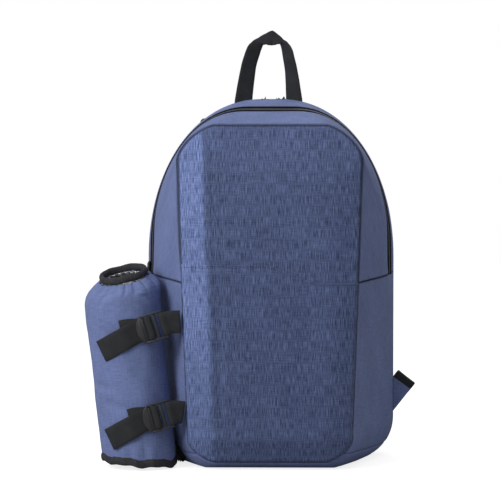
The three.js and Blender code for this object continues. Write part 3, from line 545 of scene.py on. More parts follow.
def join(shader, surface, color=None, roughness=None, height=None, depth=0.0002, strength=1.0):
    links = shader.tree.links
    if color is not None:
        links.new(color, surface.inputs["Base Color"])
    if roughness is not None:
        links.new(roughness, surface.inputs["Roughness"])
    if height is not None:
        inputs = {"Height": height, "Distance": depth, "Strength": strength}
        links.new(shader.node("ShaderNodeBump", inputs).outputs[0], surface.inputs["Normal"])


def made_once(name, make):
    return bpy.data.materials.get(name) or make()


def cloth_vector(shader, mapped):
    """The cloth's own map, or for a piece without one its place in the bag seen from the front."""
    if mapped:
        return shader.node("ShaderNodeUVMap", uv_map="cloth").outputs[0]
    x, y, z = shader.parts(shader.node("ShaderNodeTexCoord").outputs["Object"])
    return shader.vector(x, shader.math("ADD", z, shader.math("MULTIPLY", y, 0.7)))


def heather(name, light, dark, weft=0.4, contrast=1.0, cloud=0.08, mapped=True, painted_light=False):
    def make():
        weave = bpy.context.scene.bag_weave
        material, shader, surface = finish_material(
            name, Sheen_Weight=0.04, Sheen_Roughness=0.4, Specular_IOR_Level=0.2
        )
        vector = cloth_vector(shader, mapped)
        given = {
            "Vector": vector,
            "Streak Width": weave.streak_width,
            "Streak Length": weave.streak_length,
            "Weave Pitch": weave.weave_pitch,
            "Weft Share": weft,
            "Contrast": contrast,
            "Light": opaque(light),
            "Dark": opaque(dark),
        }
        # Painted light on the front cloth's left facet, read from the attribute that paint_facet_light writes
        if painted_light:
            given["Painted Light"] = shader.node("ShaderNodeAttribute", attribute_name="painted_light").outputs["Fac"]
        woven = shader.group("Heather weave", given)
        toned = shader.group("Cloud tone", {"Vector": vector, "Amount": cloud, "Color": woven["Color"]})
        # Painted shade: the seam attribute darkens the colour down to 0.3 beside seams and in the facet's valleys
        seam_shade = shader.node("ShaderNodeAttribute", attribute_name="seam").outputs["Fac"]
        left = shader.remap(seam_shade, 0.0, 1.0, 1.0, 0.3)
        shaded = shader.mix(1.0, toned["Color"], shader.vector(left, left, left), "MULTIPLY")
        join(shader, surface, shaded, woven["Roughness"], woven["Height"], 0.00018, 0.7)
        return material

    return made_once(name, make)


def front_fabric():
    c = bpy.context.scene.bag_colours
    # The front cloth takes the painted light of its left facet
    return heather("Front fabric", c.front_light, c.front_dark, 0.3, 1.0, 0.08, painted_light=True)


def side_fabric():
    c = bpy.context.scene.bag_colours
    return heather("Side fabric", c.side_light, c.side_dark, 0.8, 0.6)


def pad_fabric():
    c = bpy.context.scene.bag_colours
    return heather("Pad fabric", c.side_light, c.side_dark, 0.8, 0.6, mapped=False)


def ribbed(name, tint, pitch, cloud, strength):
    """A black tape or webbing, with clouds of a scale and an amount in its ribs."""

    def make():
        material, shader, surface = finish_material(name, Specular_IOR_Level=0.25)
        vector = cloth_vector(shader, True)
        ribs = shader.group("Webbing ribs", {"Vector": vector, "Pitch": pitch, "Color": opaque(tint)})
        scale, amount = cloud
        given = {"Vector": vector, "Scale": scale, "Amount": amount, "Color": ribs["Color"]}
        toned = shader.group("Cloud tone", given)
        join(shader, surface, toned["Color"], ribs["Roughness"], ribs["Height"], 0.0003, strength)
        return material

    return made_once(name, make)


def webbing():
    scene = bpy.context.scene
    return ribbed("Webbing", scene.bag_colours.webbing, scene.bag_weave.rib_pitch, (60.0, 0.18), 0.9)


def elastic_binding():
    return ribbed("Elastic binding", bpy.context.scene.bag_colours.elastic, 0.9 * MM, (90.0, 0.25), 1.0)


def moulded_plastic():
    def make():
        material, shader, surface = finish_material("Moulded plastic", Specular_IOR_Level=0.4)
        place = shader.node("ShaderNodeTexCoord").outputs["Object"]
        grain = shader.noise(place, 2600.0, 2.0)
        black = opaque(bpy.context.scene.bag_colours.plastic)
        colour_of = {"Vector": place, "Scale": 120.0, "Amount": 0.15, "Color": black}
        toned = shader.group("Cloud tone", colour_of)
        rough = shader.remap(toned["Mask"], 0.3, 0.7, 0.36, 0.5)
        join(shader, surface, toned["Color"], rough, grain, 0.00005, 0.5)
        return material

    return made_once("Moulded plastic", make)


def zip_finish():
    def make():
        material, shader, surface = finish_material("Zip")
        place = shader.node("ShaderNodeTexCoord").outputs["Object"]
        grain = shader.noise(place, 1800.0, 2.0)
        tint = opaque(bpy.context.scene.bag_colours.zip_tape)
        toned = shader.group("Cloud tone", {"Vector": place, "Scale": 300.0, "Amount": 0.3, "Color": tint})
        join(shader, surface, toned["Color"], shader.remap(grain, 0.3, 0.7, 0.5, 0.75), grain, 0.0002, 0.6)
        return material

    return made_once("Zip", make)


def foil_lining():
    def make():
        material, shader, surface = finish_material("Foil lining", Metallic=0.85)
        vector = cloth_vector(shader, True)
        creases = shader.noise(vector, 70.0, 4.0, 0.65)
        tint = opaque(bpy.context.scene.bag_colours.foil)
        toned = shader.group("Cloud tone", {"Vector": vector, "Scale": 130.0, "Amount": 0.12, "Color": tint})
        join(shader, surface, toned["Color"], shader.remap(creases, 0.3, 0.7, 0.2, 0.42), creases, 0.0012, 0.8)
        return material

    return made_once("Foil lining", make)


def thread_finish(name, rgb):
    def make():
        material, shader, surface = finish_material(name, Sheen_Weight=0.1)
        place = shader.node("ShaderNodeTexCoord").outputs["Object"]
        fibre = shader.noise(place, 3000.0, 2.0)
        given = {"Vector": place, "Scale": 700.0, "Amount": 0.2, "Color": opaque(rgb)}
        toned = shader.group("Cloud tone", given)
        join(shader, surface, toned["Color"], shader.remap(fibre, 0.3, 0.7, 0.55, 0.8), fibre, 0.0001, 0.6)
        return material

    return made_once(name, make)


# Folds, stitches and ribbons

Fold = namedtuple("Fold", "x0 y0 x1 y1 width depth")


def fold_depth(folds, x, y):
    """Depth of the folds at a place on the cloth. Each is a line from one place to another, tapered at its ends."""
    total = 0.0
    for f in folds:
        dx, dy = f.x1 - f.x0, f.y1 - f.y0
        long = dx * dx + dy * dy
        share = ((x - f.x0) * dx + (y - f.y0) * dy) / long
        if -0.15 < share < 1.15:
            off = abs((x - f.x0) * dy - (y - f.y0) * dx) / math.sqrt(long)
            if off < 3 * f.width:
                tapered = smooth(share, -0.15, 0.25) * (1 - smooth(share, 0.75, 1.15))
                total += f.depth * bump(off, 0, f.width) * tapered
    return total


def waves(x, y, wide, tall, seed):
    return noise.noise(Vector((x / wide, y / tall, seed)))


def paced(line, due, pitch):
    """Places at an even pitch along a line of (place, direction out) pairs: place, direction along, direction out."""
    travelled = 0.0
    for (a, out), (b, _) in zip(line, line[1:]):
        span = (b - a).length
        while span > 0 and due <= travelled + span:
            yield a.lerp(b, (due - travelled) / span), (b - a).normalized(), out
            due += pitch
        travelled += span


def bead(bm, at, axes, half_sizes):
    """A small rounded body along three axes, in millimetres."""
    turn = Matrix(axes).transposed().to_4x4()
    size = Matrix.Diagonal((*[half * MM for half in half_sizes], 1))
    bmesh.ops.create_icosphere(bm, subdivisions=1, radius=1.0, matrix=Matrix.Translation(at * MM) @ turn @ size)


def sew(bm, line):
    """Stitches along a line of (place, direction out of the cloth) pairs, in millimetres."""
    sewing = bpy.context.scene.bag_sewing
    long, thick = sewing.stitch_length / MM, sewing.thread_width / MM
    pitch = long + sewing.stitch_gap / MM
    for at, along, out in paced(line, pitch / 2, pitch):
        side = out.cross(along).normalized()
        bead(bm, at, (along, side, along.cross(side)), (long / 2, thick / 2, thick / 2))


def stitching(name, lines, material):
    bm = bmesh.new()
    for line in lines:
        sew(bm, line)
    return piece(name, bm, material, ())


Row = namedtuple("Row", "at across width")


def spline(values, share):
    """A point on a smooth curve through values, at a share of their number of spans."""
    span = min(int(share), len(values) - 2)
    part = share - span
    a, b = values[span], values[span + 1]
    before = values[span - 1] if span > 0 else a + (a - b)
    after = values[span + 2] if span + 2 < len(values) else b + (b - a)
    m0, m1 = (b - before) * 0.5, (after - a) * 0.5
    p2, p3 = part * part, part**3
    return a * (2 * p3 - 3 * p2 + 1) + m0 * (p3 - 2 * p2 + part) + b * (3 * p2 - 2 * p3) + m1 * (p3 - p2)


def smooth_rows(rows, spacing=2.0):
    """More rows on a smooth curve through the given ones."""
    result = []
    for i, (a, b) in enumerate(zip(rows, rows[1:])):
        count = max(int((b.at - a.at).length / spacing), 1)
        for k in range(count):
            share = i + k / count
            at = spline([r.at for r in rows], share)
            across = a.across.lerp(b.across, k / count)
            result.append(Row(at, across, lerp(a.width, b.width, k / count)))
    return [*result, rows[-1]]


def frame_at(rows, i, straight=True):
    """The directions across and out of webbing at one of its rows."""
    along = (rows[min(i + 1, len(rows) - 1)].at - rows[max(i - 1, 0)].at).normalized()
    if not straight:
        across = rows[i].across.normalized()
        return across, along.cross(across).normalized()
    across = (rows[i].across - along * along.dot(rows[i].across)).normalized()
    return across, along.cross(across)


SECTION = ((-1, -0.35), (-0.97, -1), (-0.6, -1), (0, -1), (0.6, -1), (0.97, -1), (1, -0.35))


def ribbon(rows, thickness, spacing=2.0, wobble=0.0, straight=True):
    """Flat webbing through rows, with rounded edges and closed ends. Straight webbing is cut square to its way."""
    rows = smooth_rows(rows, spacing)
    section = [*SECTION, *[(a, -b) for a, b in reversed(SECTION)]]
    frames, run = [frame_at(rows, i, straight) for i in range(len(rows))], [0.0]
    for before, row in zip(rows, rows[1:]):
        run.append(run[-1] + (row.at - before.at).length)

    def place(k, i):
        a, b = section[k % len(section)]
        across, out = frames[i]
        half = rows[i].width / 2 - thickness * 0.25 * abs(b) * (abs(a) > 0.9)
        shift = wobble * waves(run[i], a * 9, 11, 9, 4.2)
        return rows[i].at + across * a * half + out * (b * thickness / 2 + shift)

    def cloth(k, i):
        a, b = section[k % len(section)]
        if k == len(section):
            a -= 0.02
        return a * rows[i].width / 2, run[i] + (400 if b > 0 else 0)

    bm = map_grid(range(len(section) + 1), range(len(rows)), place, cloth)
    close_ends(bm)
    return bm


# The front and back panels


def panel_height(outline, z, lift):
    return z + lift * clamp(1 - z / outline.corner_tall)


def across_outline(outline):
    """The place across and up a panel, of a share across it and a place on its outline."""

    def spot(across, t):
        half, z = outline_point(outline, t)
        return across * half, z

    return spot


def edge_tree(outline, lift):
    """Finds the distance of a place from a panel's edge."""
    count = 2600
    tree = kdtree.KDTree(2 * count)
    for i in range(count):
        x, z = outline_point(outline, END * i / (count - 1))
        height = panel_height(outline, z, lift)
        tree.insert((x, 0, height), 2 * i)
        tree.insert((-x, 0, height), 2 * i + 1)
    tree.balance()
    return lambda x, z: tree.find((x, 0, z))[2]


def crease_x(z):
    """The crease that sets off the front's left facet."""
    return lerp(-60, -72, z / FRONT.top)


FRONT_FOLDS = (
    Fold(-73, 366, -62, 332, 3.2, 1.5),
    Fold(-84, 352, -74, 322, 4.5, 0.8),
    Fold(-54, 330, -52, 120, 3.0, 0.7),
    Fold(-47, 300, -45, 60, 2.6, -0.5),
    Fold(-10, 372, -10, 226, 1.0, -0.35),
    Fold(41, 372, 41, 222, 1.0, -0.3),
    Fold(74, 366, 84, 322, 4.0, 0.8),
    Fold(60, 330, 66, 250, 6.0, 0.6),
    Fold(20, 240, 66, 214, 5.0, 0.7),
    Fold(-96, 250, -66, 236, 4.0, 0.5),
)
POCKET_FOLDS = (
    Fold(-54, 214, -52, 50, 3.0, 0.9),
    Fold(-46, 205, -45, 60, 2.4, -0.6),
    Fold(-92, 140, -70, 118, 5.0, 0.6),
    Fold(88, 190, 84, 60, 4.0, 0.6),
    Fold(-70, 32, -30, 16, 4.0, 0.6),
    Fold(30, 196, 70, 168, 7.0, 0.7),
)


def front_rise(x, z, half):
    """Rise of the front over its seam: a flat facet up to the crease at the left, and a rounded right side."""
    upward = smooth(z, 0, 40) * (1 - smooth(z, FRONT.top - 60, FRONT.top))
    facet = FRONT_BULGE * clamp((x + half) / max(crease_x(z) + half, 8), 0, 3)
    rounded = FRONT_BULGE * (1 - (1 - clamp((half - x) / 38)) ** 2.2)
    crown = FRONT_BULGE * (1 + 0.06 * (1 - (x / half) ** 2))
    return upward * soft_min(soft_min(facet, crown, 1.6), rounded, 1.2)


def front_skin(x, z, half, height, gap, folds, proud=0.0, roll=None):
    """Depth of the front cloth at a place, rolled into its seam; a roll is given where it differs from the bag's."""
    sewing = bpy.context.scene.bag_sewing
    y = front_y(z) - front_rise(x, z, half) - proud
    valley = bump(x, crease_x(z) + 7, 3.4) * smooth(z, 30, 90) * (1 - smooth(z, 335, 365))
    soft = 0.9 * waves(x, height, 30, 120, 1.3) + 0.5 * waves(x, height, 14, 60, 8.8)
    inner = smooth(gap, 0, 14)
    depth = (fold_depth(folds, x, height) + 0.9 * valley + soft) * inner * sewing.fold_depth / MM
    return y + depth + into_seam(gap, roll or sewing.seam_roll / MM, 2.0)


PANEL_COLUMNS = steps(-1, (-0.955, 6), (-0.88, 6), (-0.5, 24), (0.5, 34), (0.88, 16), (0.955, 6), (1, 6))
LIFT = 8


def paint_facet_light(bm):
    """Paints light onto the front cloth: a lighter colour on the left facet, where the light from the left falls, and
    a little lighter towards the right edge and the top.
    """
    layer = bm.verts.layers.float.new("painted_light")
    for v in bm.verts:
        x, z = v.co.x / MM, v.co.z / MM
        facet = 1 - smooth(x - crease_x(z), -5, 4)
        right = smooth(x, 70, 98)
        top = smooth(z, 300, 376)
        v[layer] = 1.0 * facet * lerp(0.45, 1, smooth(z, 20, 200)) + 0.1 * right + 0.1 * top * (1 - facet)


def front_shade(p, gap):
    """Shade beside the front panel's seam, and in the valleys beside its left facet."""
    valley = bump(p.x, crease_x(p.z) - 1.5, 2.2) * smooth(p.z, 60, 200)
    return 1.2 * (1 - smooth(gap, 0.6, 2.6)) + 0.45 * valley


def paint_seam_shade(bm, sunk_at):
    """Paints shade into the cloth's colour beside a seam, from 0 to 1."""
    layer = bm.verts.layers.float.new("seam")
    for v in bm.verts:
        v[layer] = clamp(sunk_at(v.co / MM))


def build_front_panel():
    gap_at = edge_tree(FRONT, LIFT)

    def place(across, t):
        half, z = outline_point(FRONT, t)
        height = panel_height(FRONT, z, LIFT)
        x = across * half
        return Vector((x, front_skin(x, z, half, height, gap_at(x, height), FRONT_FOLDS), height))

    rows = steps(CORNER, (SIDE, 12), (ARCH, 60), (TOP - 2.5, 22), (TOP - 0.8, 12), (TOP, 6))
    bm = map_grid(PANEL_COLUMNS, rows, place, across_outline(FRONT))
    paint_facet_light(bm)
    paint_seam_shade(bm, lambda p: front_shade(p, gap_at(p.x, p.z)))
    thicken(piece("front_cloth", bm, front_fabric(), ("front_panel",)), 1.2)


POCKET_PROUD, POCKET_ROLL, POCKET_HALF = 1.5, 4.4, 98
POCKET_WEAVE = 3.3, 1.7  # how far the pocket's weave is set off from the panel's


def pocket_edge(x):
    return lerp(224, 204, smooth(x, -12, 58))


def side_half(z):
    """Half the front panel's width at a height on its straight sides."""
    return lerp(FRONT.half_base, FRONT.half_top, (z - FRONT.corner_tall) / (FRONT.arch_start - FRONT.corner_tall))


def build_front_pocket():
    gap_at = edge_tree(FRONT, LIFT)

    def spot(across, t):
        if t <= SIDE:
            half, z = outline_point(FRONT, t)
        else:
            z = lerp(FRONT.corner_tall, pocket_edge(across * POCKET_HALF), t - SIDE)
            half = side_half(z)
        return across * half, z, half

    def place(across, t):
        x, z, half = spot(across, t)
        height = panel_height(FRONT, z, LIFT)
        below = pocket_edge(x) - z
        lip = 0.35 * bump(below, 0.8, 1.0) - 0.35 * bump(below, 3.6, 0.8)
        y = front_skin(x, z, half, height, gap_at(x, height), POCKET_FOLDS, POCKET_PROUD + lip, POCKET_ROLL)
        return Vector((x, y, height))

    rows = steps(CORNER, (SIDE, 14), (SIDE + 0.93, 52), (SIDE + 0.975, 6), (SIDE + 1, 10))
    bm = map_grid(PANEL_COLUMNS, rows, place, lambda *at: [a + b for a, b in zip(spot(*at), POCKET_WEAVE)])
    paint_facet_light(bm)
    thicken(piece("pocket_cloth", bm, front_fabric(), ("front_pocket",)), 1.1)
    edge = []
    for i in range(260):
        across = lerp(-0.97, 0.97, i / 259)
        half = lerp(FRONT.half_base, FRONT.half_top, (pocket_edge(across * 98) - 32) / 307)
        x = across * half
        z = pocket_edge(x) - 3.4
        gap = half - abs(x)
        y = front_skin(x, z, half, z, gap, POCKET_FOLDS, 1.62, 4.4)
        edge.append((Vector((x, y, z)), Vector((0, -1, 0))))
    stitching("pocket_stitching", [edge], thread_finish("Sewing thread", bpy.context.scene.bag_colours.thread))


# The band round the bag: gussets, sides, base and zip

ROUND = steps(0.0, (CORNER, 6), (SIDE, 14), (ARCH, 40), (TOP, 54), (END, 8))
ROUND = [-t for t in reversed(ROUND[1:])] + ROUND
SIDE_FOLDS = {
    "right": (
        Fold(-70, 190, -66, 70, 2.2, 0.9),
        Fold(-63, 180, -58, 90, 2.2, -0.7),
        Fold(-55, 178, -50, 110, 2.6, 0.7),
        Fold(-70, 60, -10, 130, 6.0, 1.0),
        Fold(-60, 30, 10, 90, 6.0, 0.9),
        Fold(-20, 40, 50, 110, 8.0, 0.8),
    ),
    "left": (
        Fold(-66, 196, -30, 180, 5.0, 0.9),
        Fold(-66, 150, -20, 120, 6.0, 0.8),
        Fold(-60, 60, 0, 110, 6.0, 0.9),
        Fold(20, 180, 50, 80, 7.0, 0.8),
    ),
}
ARCH_FOLDS = (
    Fold(-60, -30, -40, -170, 5.0, 0.5),
    Fold(-55, 40, -40, 190, 5.0, 0.5),
    Fold(-64, -250, -30, -290, 5.0, 0.8),
    Fold(-60, 262, -20, 300, 6.0, 0.8),
)


ARC_STEPS = 400


def arc_table():
    """Length round the middle of the band at each place, from the middle of the top."""
    points = [band_point(END * i / ARC_STEPS, 0.5) for i in range(ARC_STEPS + 1)]
    run = [0.0]
    for a, b in zip(points, points[1:]):
        run.append(run[-1] + (b - a).length)
    return [run[-1] - r for r in run]


ARC_RUN = arc_table()


def arc(t):
    share = clamp(abs(t) / END) * ARC_STEPS
    low = min(int(share), ARC_STEPS - 1)
    return math.copysign(lerp(ARC_RUN[low], ARC_RUN[low + 1], share - low), t)


def band_strip(rows, near, far, inset=0.0, columns=ROUND):
    """A strip of the band between two depths. A depth of None is the front or the back seam."""

    def share(t, r):
        start = 0.0 if near is None else band_share(t, near)
        end = 1.0 if far is None else band_share(t, far)
        return lerp(start, end, r)

    return map_grid(
        columns,
        rows,
        lambda t, r: band_point(t, share(t, r), inset),
        lambda t, r: (lerp(-80, 80, share(t, r)), arc(t)),
    )


def front_gap(p):
    """Distance of a place on the band from the front seam."""
    return (p.y - front_y(min(p.z, FRONT.top)) - BAND_FRONT) * 1.08


def sloped(front, back):
    return lambda y: lerp(front, back, clamp((y + BACK_Y) / (2 * BACK_Y)))


side_seam, base_seam = sloped(SEAM_FRONT, SEAM_BACK), sloped(17, 12)


def band_depth(p, folds, zip_gap=None, flange=0.0):
    """How far the band's cloth lies in from its smooth shape at a place."""
    sewing = bpy.context.scene.bag_sewing
    front, back = front_gap(p), BAND_BACK - p.y
    side = abs(p.z - side_seam(p.y))
    base = abs(p.z - base_seam(p.y))
    front_roll = into_seam(front, sewing.seam_roll / MM, 2.4)
    depth = max(front_roll, into_seam(back, 2.6), into_seam(side, 2.2, 1.3), into_seam(base, 2.0))
    if zip_gap is not None:
        depth = max(depth, into_seam(zip_gap, 2.2)) + 1.9 * flange * (1 - smooth(zip_gap, 0, 16))
        depth += 0.35 * bump(zip_gap, 4.2, 0.9)
    ridge = flange * smooth(p.z, 300, 345)
    depth -= ridge * bump(front, 2.9, 1.7) - ridge * 0.7 * bump(front, 5.6, 1.0)
    inner = smooth(min(front, back, side), 0, 14)
    height = p.z if p.z < 215 else math.atan2(p.x, p.z - 200) * 200
    soft = 0.9 * waves(p.y, p.z + p.x, 34, 90, 5.1) + 0.5 * waves(p.y, p.z - p.x, 16, 40, 2.2)
    return depth + (fold_depth(folds, p.y, height) + soft) * inner * sewing.fold_depth / MM


def band_shade(p):
    """Shade beside the band's seams, widest where the cloth pulls in on the left of the front panel."""
    front, side = front_gap(p), abs(p.z - side_seam(p.y))
    wide = 3.0 + 6.0 * smooth(-p.x, 60, 90) * smooth(p.z, 215, 250) * (1 - smooth(p.z, 340, 375))
    return 1.2 * (1 - smooth(front, 0.8, wide)) + 0.9 * (1 - smooth(side, 0.5, 1.8))


def seam_cuts(bm, seam, keep):
    split_at(bm, seam, (0,), keep)
    split_at(bm, seam, [keep * d for d in (0.5, 1.2, 2.4, 4.0)])


def build_gussets():
    rows = steps(0, (0.07, 12), (0.12, 5), (0.9, 20), (1, 10))
    bm = band_strip(rows, None, ZIP_Y - 6.5)
    seam_cuts(bm, side_seam, 1)
    outward(bm)
    paint_seam_shade(bm, band_shade)
    push(bm, lambda p: band_depth(p, ARCH_FOLDS, ZIP_Y - 6.5 - p.y, flange=1.4))
    obj = piece("front_gusset_cloth", bm, side_fabric(), ("gusset_front",))
    thicken(obj, 1.6)
    bm = band_strip(steps(0, (0.12, 6), (0.85, 12), (1, 8)), ZIP_Y + 4.0, None)
    seam_cuts(bm, side_seam, 1)
    outward(bm)
    push(bm, lambda p: band_depth(p, (), p.y - ZIP_Y - 4.0))
    thicken(piece("back_gusset_cloth", bm, side_fabric(), ("gusset_back",)), 1.6)


def build_sides():
    rows = steps(0, (0.05, 12), (0.1, 5), (0.95, 34), (1, 8))
    for name, sign in (("right", 1), ("left", -1)):
        columns = [t for t in ROUND if t * sign >= 0]
        bm = band_strip(rows, None, None, columns=columns)
        seam_cuts(bm, side_seam, -1)
        seam_cuts(bm, base_seam, 1)
        outward(bm)
        paint_seam_shade(bm, band_shade)
        push(bm, lambda p, n=name: band_depth(p, SIDE_FOLDS[n]))
        thicken(piece(f"{name}_side_cloth", bm, side_fabric(), (f"side_{name}",)), 1.6)


def build_base():
    rows = steps(0, (0.06, 10), (0.94, 24), (1, 8))
    bm = band_strip(rows, None, None)
    seam_cuts(bm, base_seam, -1)
    outward(bm)
    push(bm, lambda p: band_depth(p, ()) * smooth(p.z, 0.4, 3))
    thicken(piece("base_cloth", bm, side_fabric(), ("base_panel",)), 1.6)


def zip_line(y, inset, low=None):
    """Places and outward directions along the band at a depth y, from the left end of the zip to the right."""
    points = [band_point(t, band_share(t, y), inset) for t in steps(SIDE + 2.0, (TOP, 260), (END, 24))]
    right = [p for p in points if p.z > (low or side_seam(y)) - 1.0]
    line = [Vector((-p.x, p.y, p.z)) for p in right] + right[::-1][1:]
    result = []
    for i, at in enumerate(line):
        along = line[min(i + 1, len(line) - 1)] - line[max(i - 1, 0)]
        result.append((at, along.normalized().cross(Vector((0, 1, 0))).normalized() * -1))
    return result


TAPE_INNER, TAPE_OUTER = 1.9, 10.5  # the zip tapes' edges, from the middle of the zip
SEWN_FRONT, SEWN_BACK, SEWN_LOW = 10.4, 8.2, 212  # the zip's stitching: from its middle, and its lowest height
TOOTH_ASIDE = 0.95
SLIDER_HEIGHT = 217


def build_zip():
    finish = zip_finish()
    for name, near, far in (
        ("zip_tape_front", ZIP_Y - TAPE_OUTER, ZIP_Y - TAPE_INNER),
        ("zip_tape_back", ZIP_Y + TAPE_INNER, ZIP_Y + TAPE_OUTER),
    ):
        bm = band_strip(steps(0, (1, 6)), near, far, 0.7)
        split_at(bm, side_seam, (0,), 1)
        outward(bm)
        thicken(piece(name + "_cloth", bm, finish, (name,)), 0.8)
    bm = bmesh.new()
    pitch = bpy.context.scene.bag_sewing.tooth_pitch / MM
    across, side = Vector((0, 1, 0)), 1
    for at, along, out in paced(zip_line(ZIP_Y, 0.1), pitch, pitch / 2):
        bead(bm, at + across * side * TOOTH_ASIDE, (along, across, out), (pitch * 0.42, 1.45, 0.75))
        side = -side
    piece("zip_teeth", bm, finish, ("zip_coil",))
    thread = thread_finish("Sewing thread", bpy.context.scene.bag_colours.thread)
    lines = [zip_line(y, 0.25, SEWN_LOW) for y in (ZIP_Y - SEWN_FRONT, ZIP_Y + SEWN_BACK)]
    stitching("zip_stitching", lines, thread)
    build_slider()


def block(bm, low, high, round_by=0.0, matrix=None):
    """A box between two corners with rounded edges."""
    low, high = Vector(low), Vector(high)
    size = high - low
    placed = Matrix.Translation((low + high) / 2) @ Matrix.Diagonal((*size, 1))
    verts = bmesh.ops.create_cube(bm, size=1.0, matrix=placed)["verts"]
    edges = list(dict.fromkeys(e for v in verts for e in v.link_edges))
    if round_by:
        made = bmesh.ops.bevel(
            bm, geom=edges, offset=round_by, segments=2, profile=0.5, affect="EDGES", material=-1, clamp_overlap=True
        )
        verts = list(dict.fromkeys(v for f in made["faces"] for v in f.verts))
    if matrix is not None:
        bmesh.ops.transform(bm, matrix=matrix, verts=verts)
    return verts


def scaled_up(bm, matrix=None):
    """Turns a mesh in millimetres into one in metres, in place."""
    bmesh.ops.transform(bm, matrix=Matrix.Scale(MM, 4) @ (matrix or Matrix()), verts=bm.verts[:])
    bmesh.ops.recalc_face_normals(bm, faces=bm.faces[:])


def build_slider():
    z, reach = SLIDER_HEIGHT, 12
    slope = math.atan2(side_x(ZIP_Y, z + reach) - side_x(ZIP_Y, z - reach), 2 * reach)
    at = Vector((-side_x(ZIP_Y, z) - 0.6, ZIP_Y, z))
    bm = bmesh.new()
    block(bm, (-2.4, -4.4, -6), (0, 4.4, 6), 0.9)
    block(bm, (-3.4, -1.4, -4.5), (-2.2, 1.4, 4.0), 0.5)
    block(bm, (-3.6, -3.2, -26), (-2.4, 3.2, -7), 0.5)
    block(bm, (-3.4, -1.1, -8.5), (-2.4, 1.1, -3), 0.4)
    scaled_up(bm, Matrix.Translation(at) @ Matrix.Rotation(-slope, 4, "Y"))
    piece("zip_slider_body", bm, moulded_plastic(), ("zip_slider",))


# The back panel, and the swelling of padded pieces as cloth


def swell(obj, voxel, pressure, cap, frames=12):
    """Swells a closed mesh as stuffed cloth, with no point moving further than the cap."""
    scene = bpy.context.scene
    bpy.context.view_layer.objects.active = obj
    remesh = obj.modifiers.new("Remesh", "REMESH")
    remesh.mode, remesh.voxel_size = "VOXEL", voxel * MM
    bpy.ops.object.modifier_apply(modifier=remesh.name)
    start = [v.co.copy() for v in obj.data.vertices]
    cloth = obj.modifiers.new("Cloth", "CLOTH")
    cloth.settings.use_pressure = True
    cloth.settings.uniform_pressure_force = pressure
    cloth.settings.effector_weights.gravity = 0
    cloth.point_cache.frame_start, cloth.point_cache.frame_end = 1, frames
    for number in range(1, frames + 1):
        scene.frame_set(number)
    bpy.ops.object.modifier_apply(modifier=cloth.name)
    scene.frame_set(1)
    for v, at in zip(obj.data.vertices, start):
        move = v.co - at
        if move.length > cap * MM:
            v.co = at + move.normalized() * cap * MM
    refine(obj)


def build_back_panel():
    gap_at = edge_tree(BACK, 2)

    def place(across, t):
        half, z = outline_point(BACK, t)
        height = panel_height(BACK, z, 2)
        x = across * half
        gap = gap_at(x, height)
        pad = BACK_BULGE * smooth(gap, 4, 26)
        spine = 2.2 * bump(x, 0, 7) * smooth(z, 40, 80) * (1 - smooth(z, 310, 350))
        ribs = 1.6 * sum(bump(z, level, 4.5) for level in (90, 180, 270)) * smooth(gap, 20, 40)
        soft = 0.6 * waves(x, z, 50, 70, 9.9) * smooth(gap, 0, 14)
        return Vector((x, BACK_Y + pad - spine - ribs - soft - into_seam(gap, 3.0), height))

    columns = steps(-1, (-0.94, 8), (-0.8, 8), (0.8, 60), (0.94, 8), (1, 8))
    rows = steps(CORNER, (SIDE, 16), (ARCH, 50), (TOP, 50))
    bm = map_grid(columns, rows, place, across_outline(BACK))
    bmesh.ops.remove_doubles(bm, verts=bm.verts[:], dist=0.5 * MM)
    outward(bm)
    face_towards(bm, Vector((0, 1, 0)))
    obj = piece("back_cloth", bm, side_fabric(), ("back_panel",))
    thicken(obj, 3.5)


# The bottle sleeve. Its shapes are made upright about its own axis and then stood beside the bag.

SLEEVE_RADIUS, NECK_RADIUS = 41, 24.4
SLEEVE_Y, SLEEVE_NEAREST, SLEEVE_CLEARANCE = -46, 40, 3
LEAN = Vector((-math.tan(math.radians(5.5)), math.tan(math.radians(4.2)), 1))
FOOT_SLOPE = math.tan(math.radians(4))
RIM_ASIDE, RIM_FORWARD = math.tan(math.radians(4)), math.tan(math.radians(17))
SLEEVE_LIFT = SLEEVE_RADIUS * FOOT_SLOPE + 0.6
SLEEVE_FOLDS = (
    Fold(-56, 92, -16, 84, 4.5, 1.5),
    Fold(-34, 70, 6, 60, 4.5, 1.3),
    Fold(-50, 62, -30, 48, 4.0, 0.8),
    Fold(10, 118, 40, 60, 6.0, 0.8),
    Fold(-20, 196, -24, 172, 2.4, 1.6),
    Fold(-38, 196, -34, 176, 2.6, 1.4),
    Fold(8, 198, 30, 176, 3.0, 1.9),
    Fold(-4, 196, -2, 184, 2.0, 1.0),
    Fold(24, 198, 36, 184, 2.4, 1.3),
    Fold(-60, 150, -34, 138, 5.0, 0.6),
    Fold(-20, 22, -16, 4, 3.0, 1.2),
    Fold(10, 26, 14, 5, 3.0, 1.0),
    Fold(60, 150, 90, 90, 7.0, 1.2),
    Fold(-110, 160, -80, 90, 7.0, 1.2),
)


def sleeve_matrix():
    up = LEAN.normalized()
    front = (Vector((0, -1, 0)) + up * up.y).normalized()
    right = up.cross(front)
    basis = Matrix((right, -front, up)).transposed().to_4x4()
    x = -(side_x(SLEEVE_Y, SLEEVE_NEAREST) + SLEEVE_CLEARANCE + SLEEVE_RADIUS)
    return Matrix.Translation((x, SLEEVE_Y, SLEEVE_LIFT)) @ basis


STAND = sleeve_matrix()


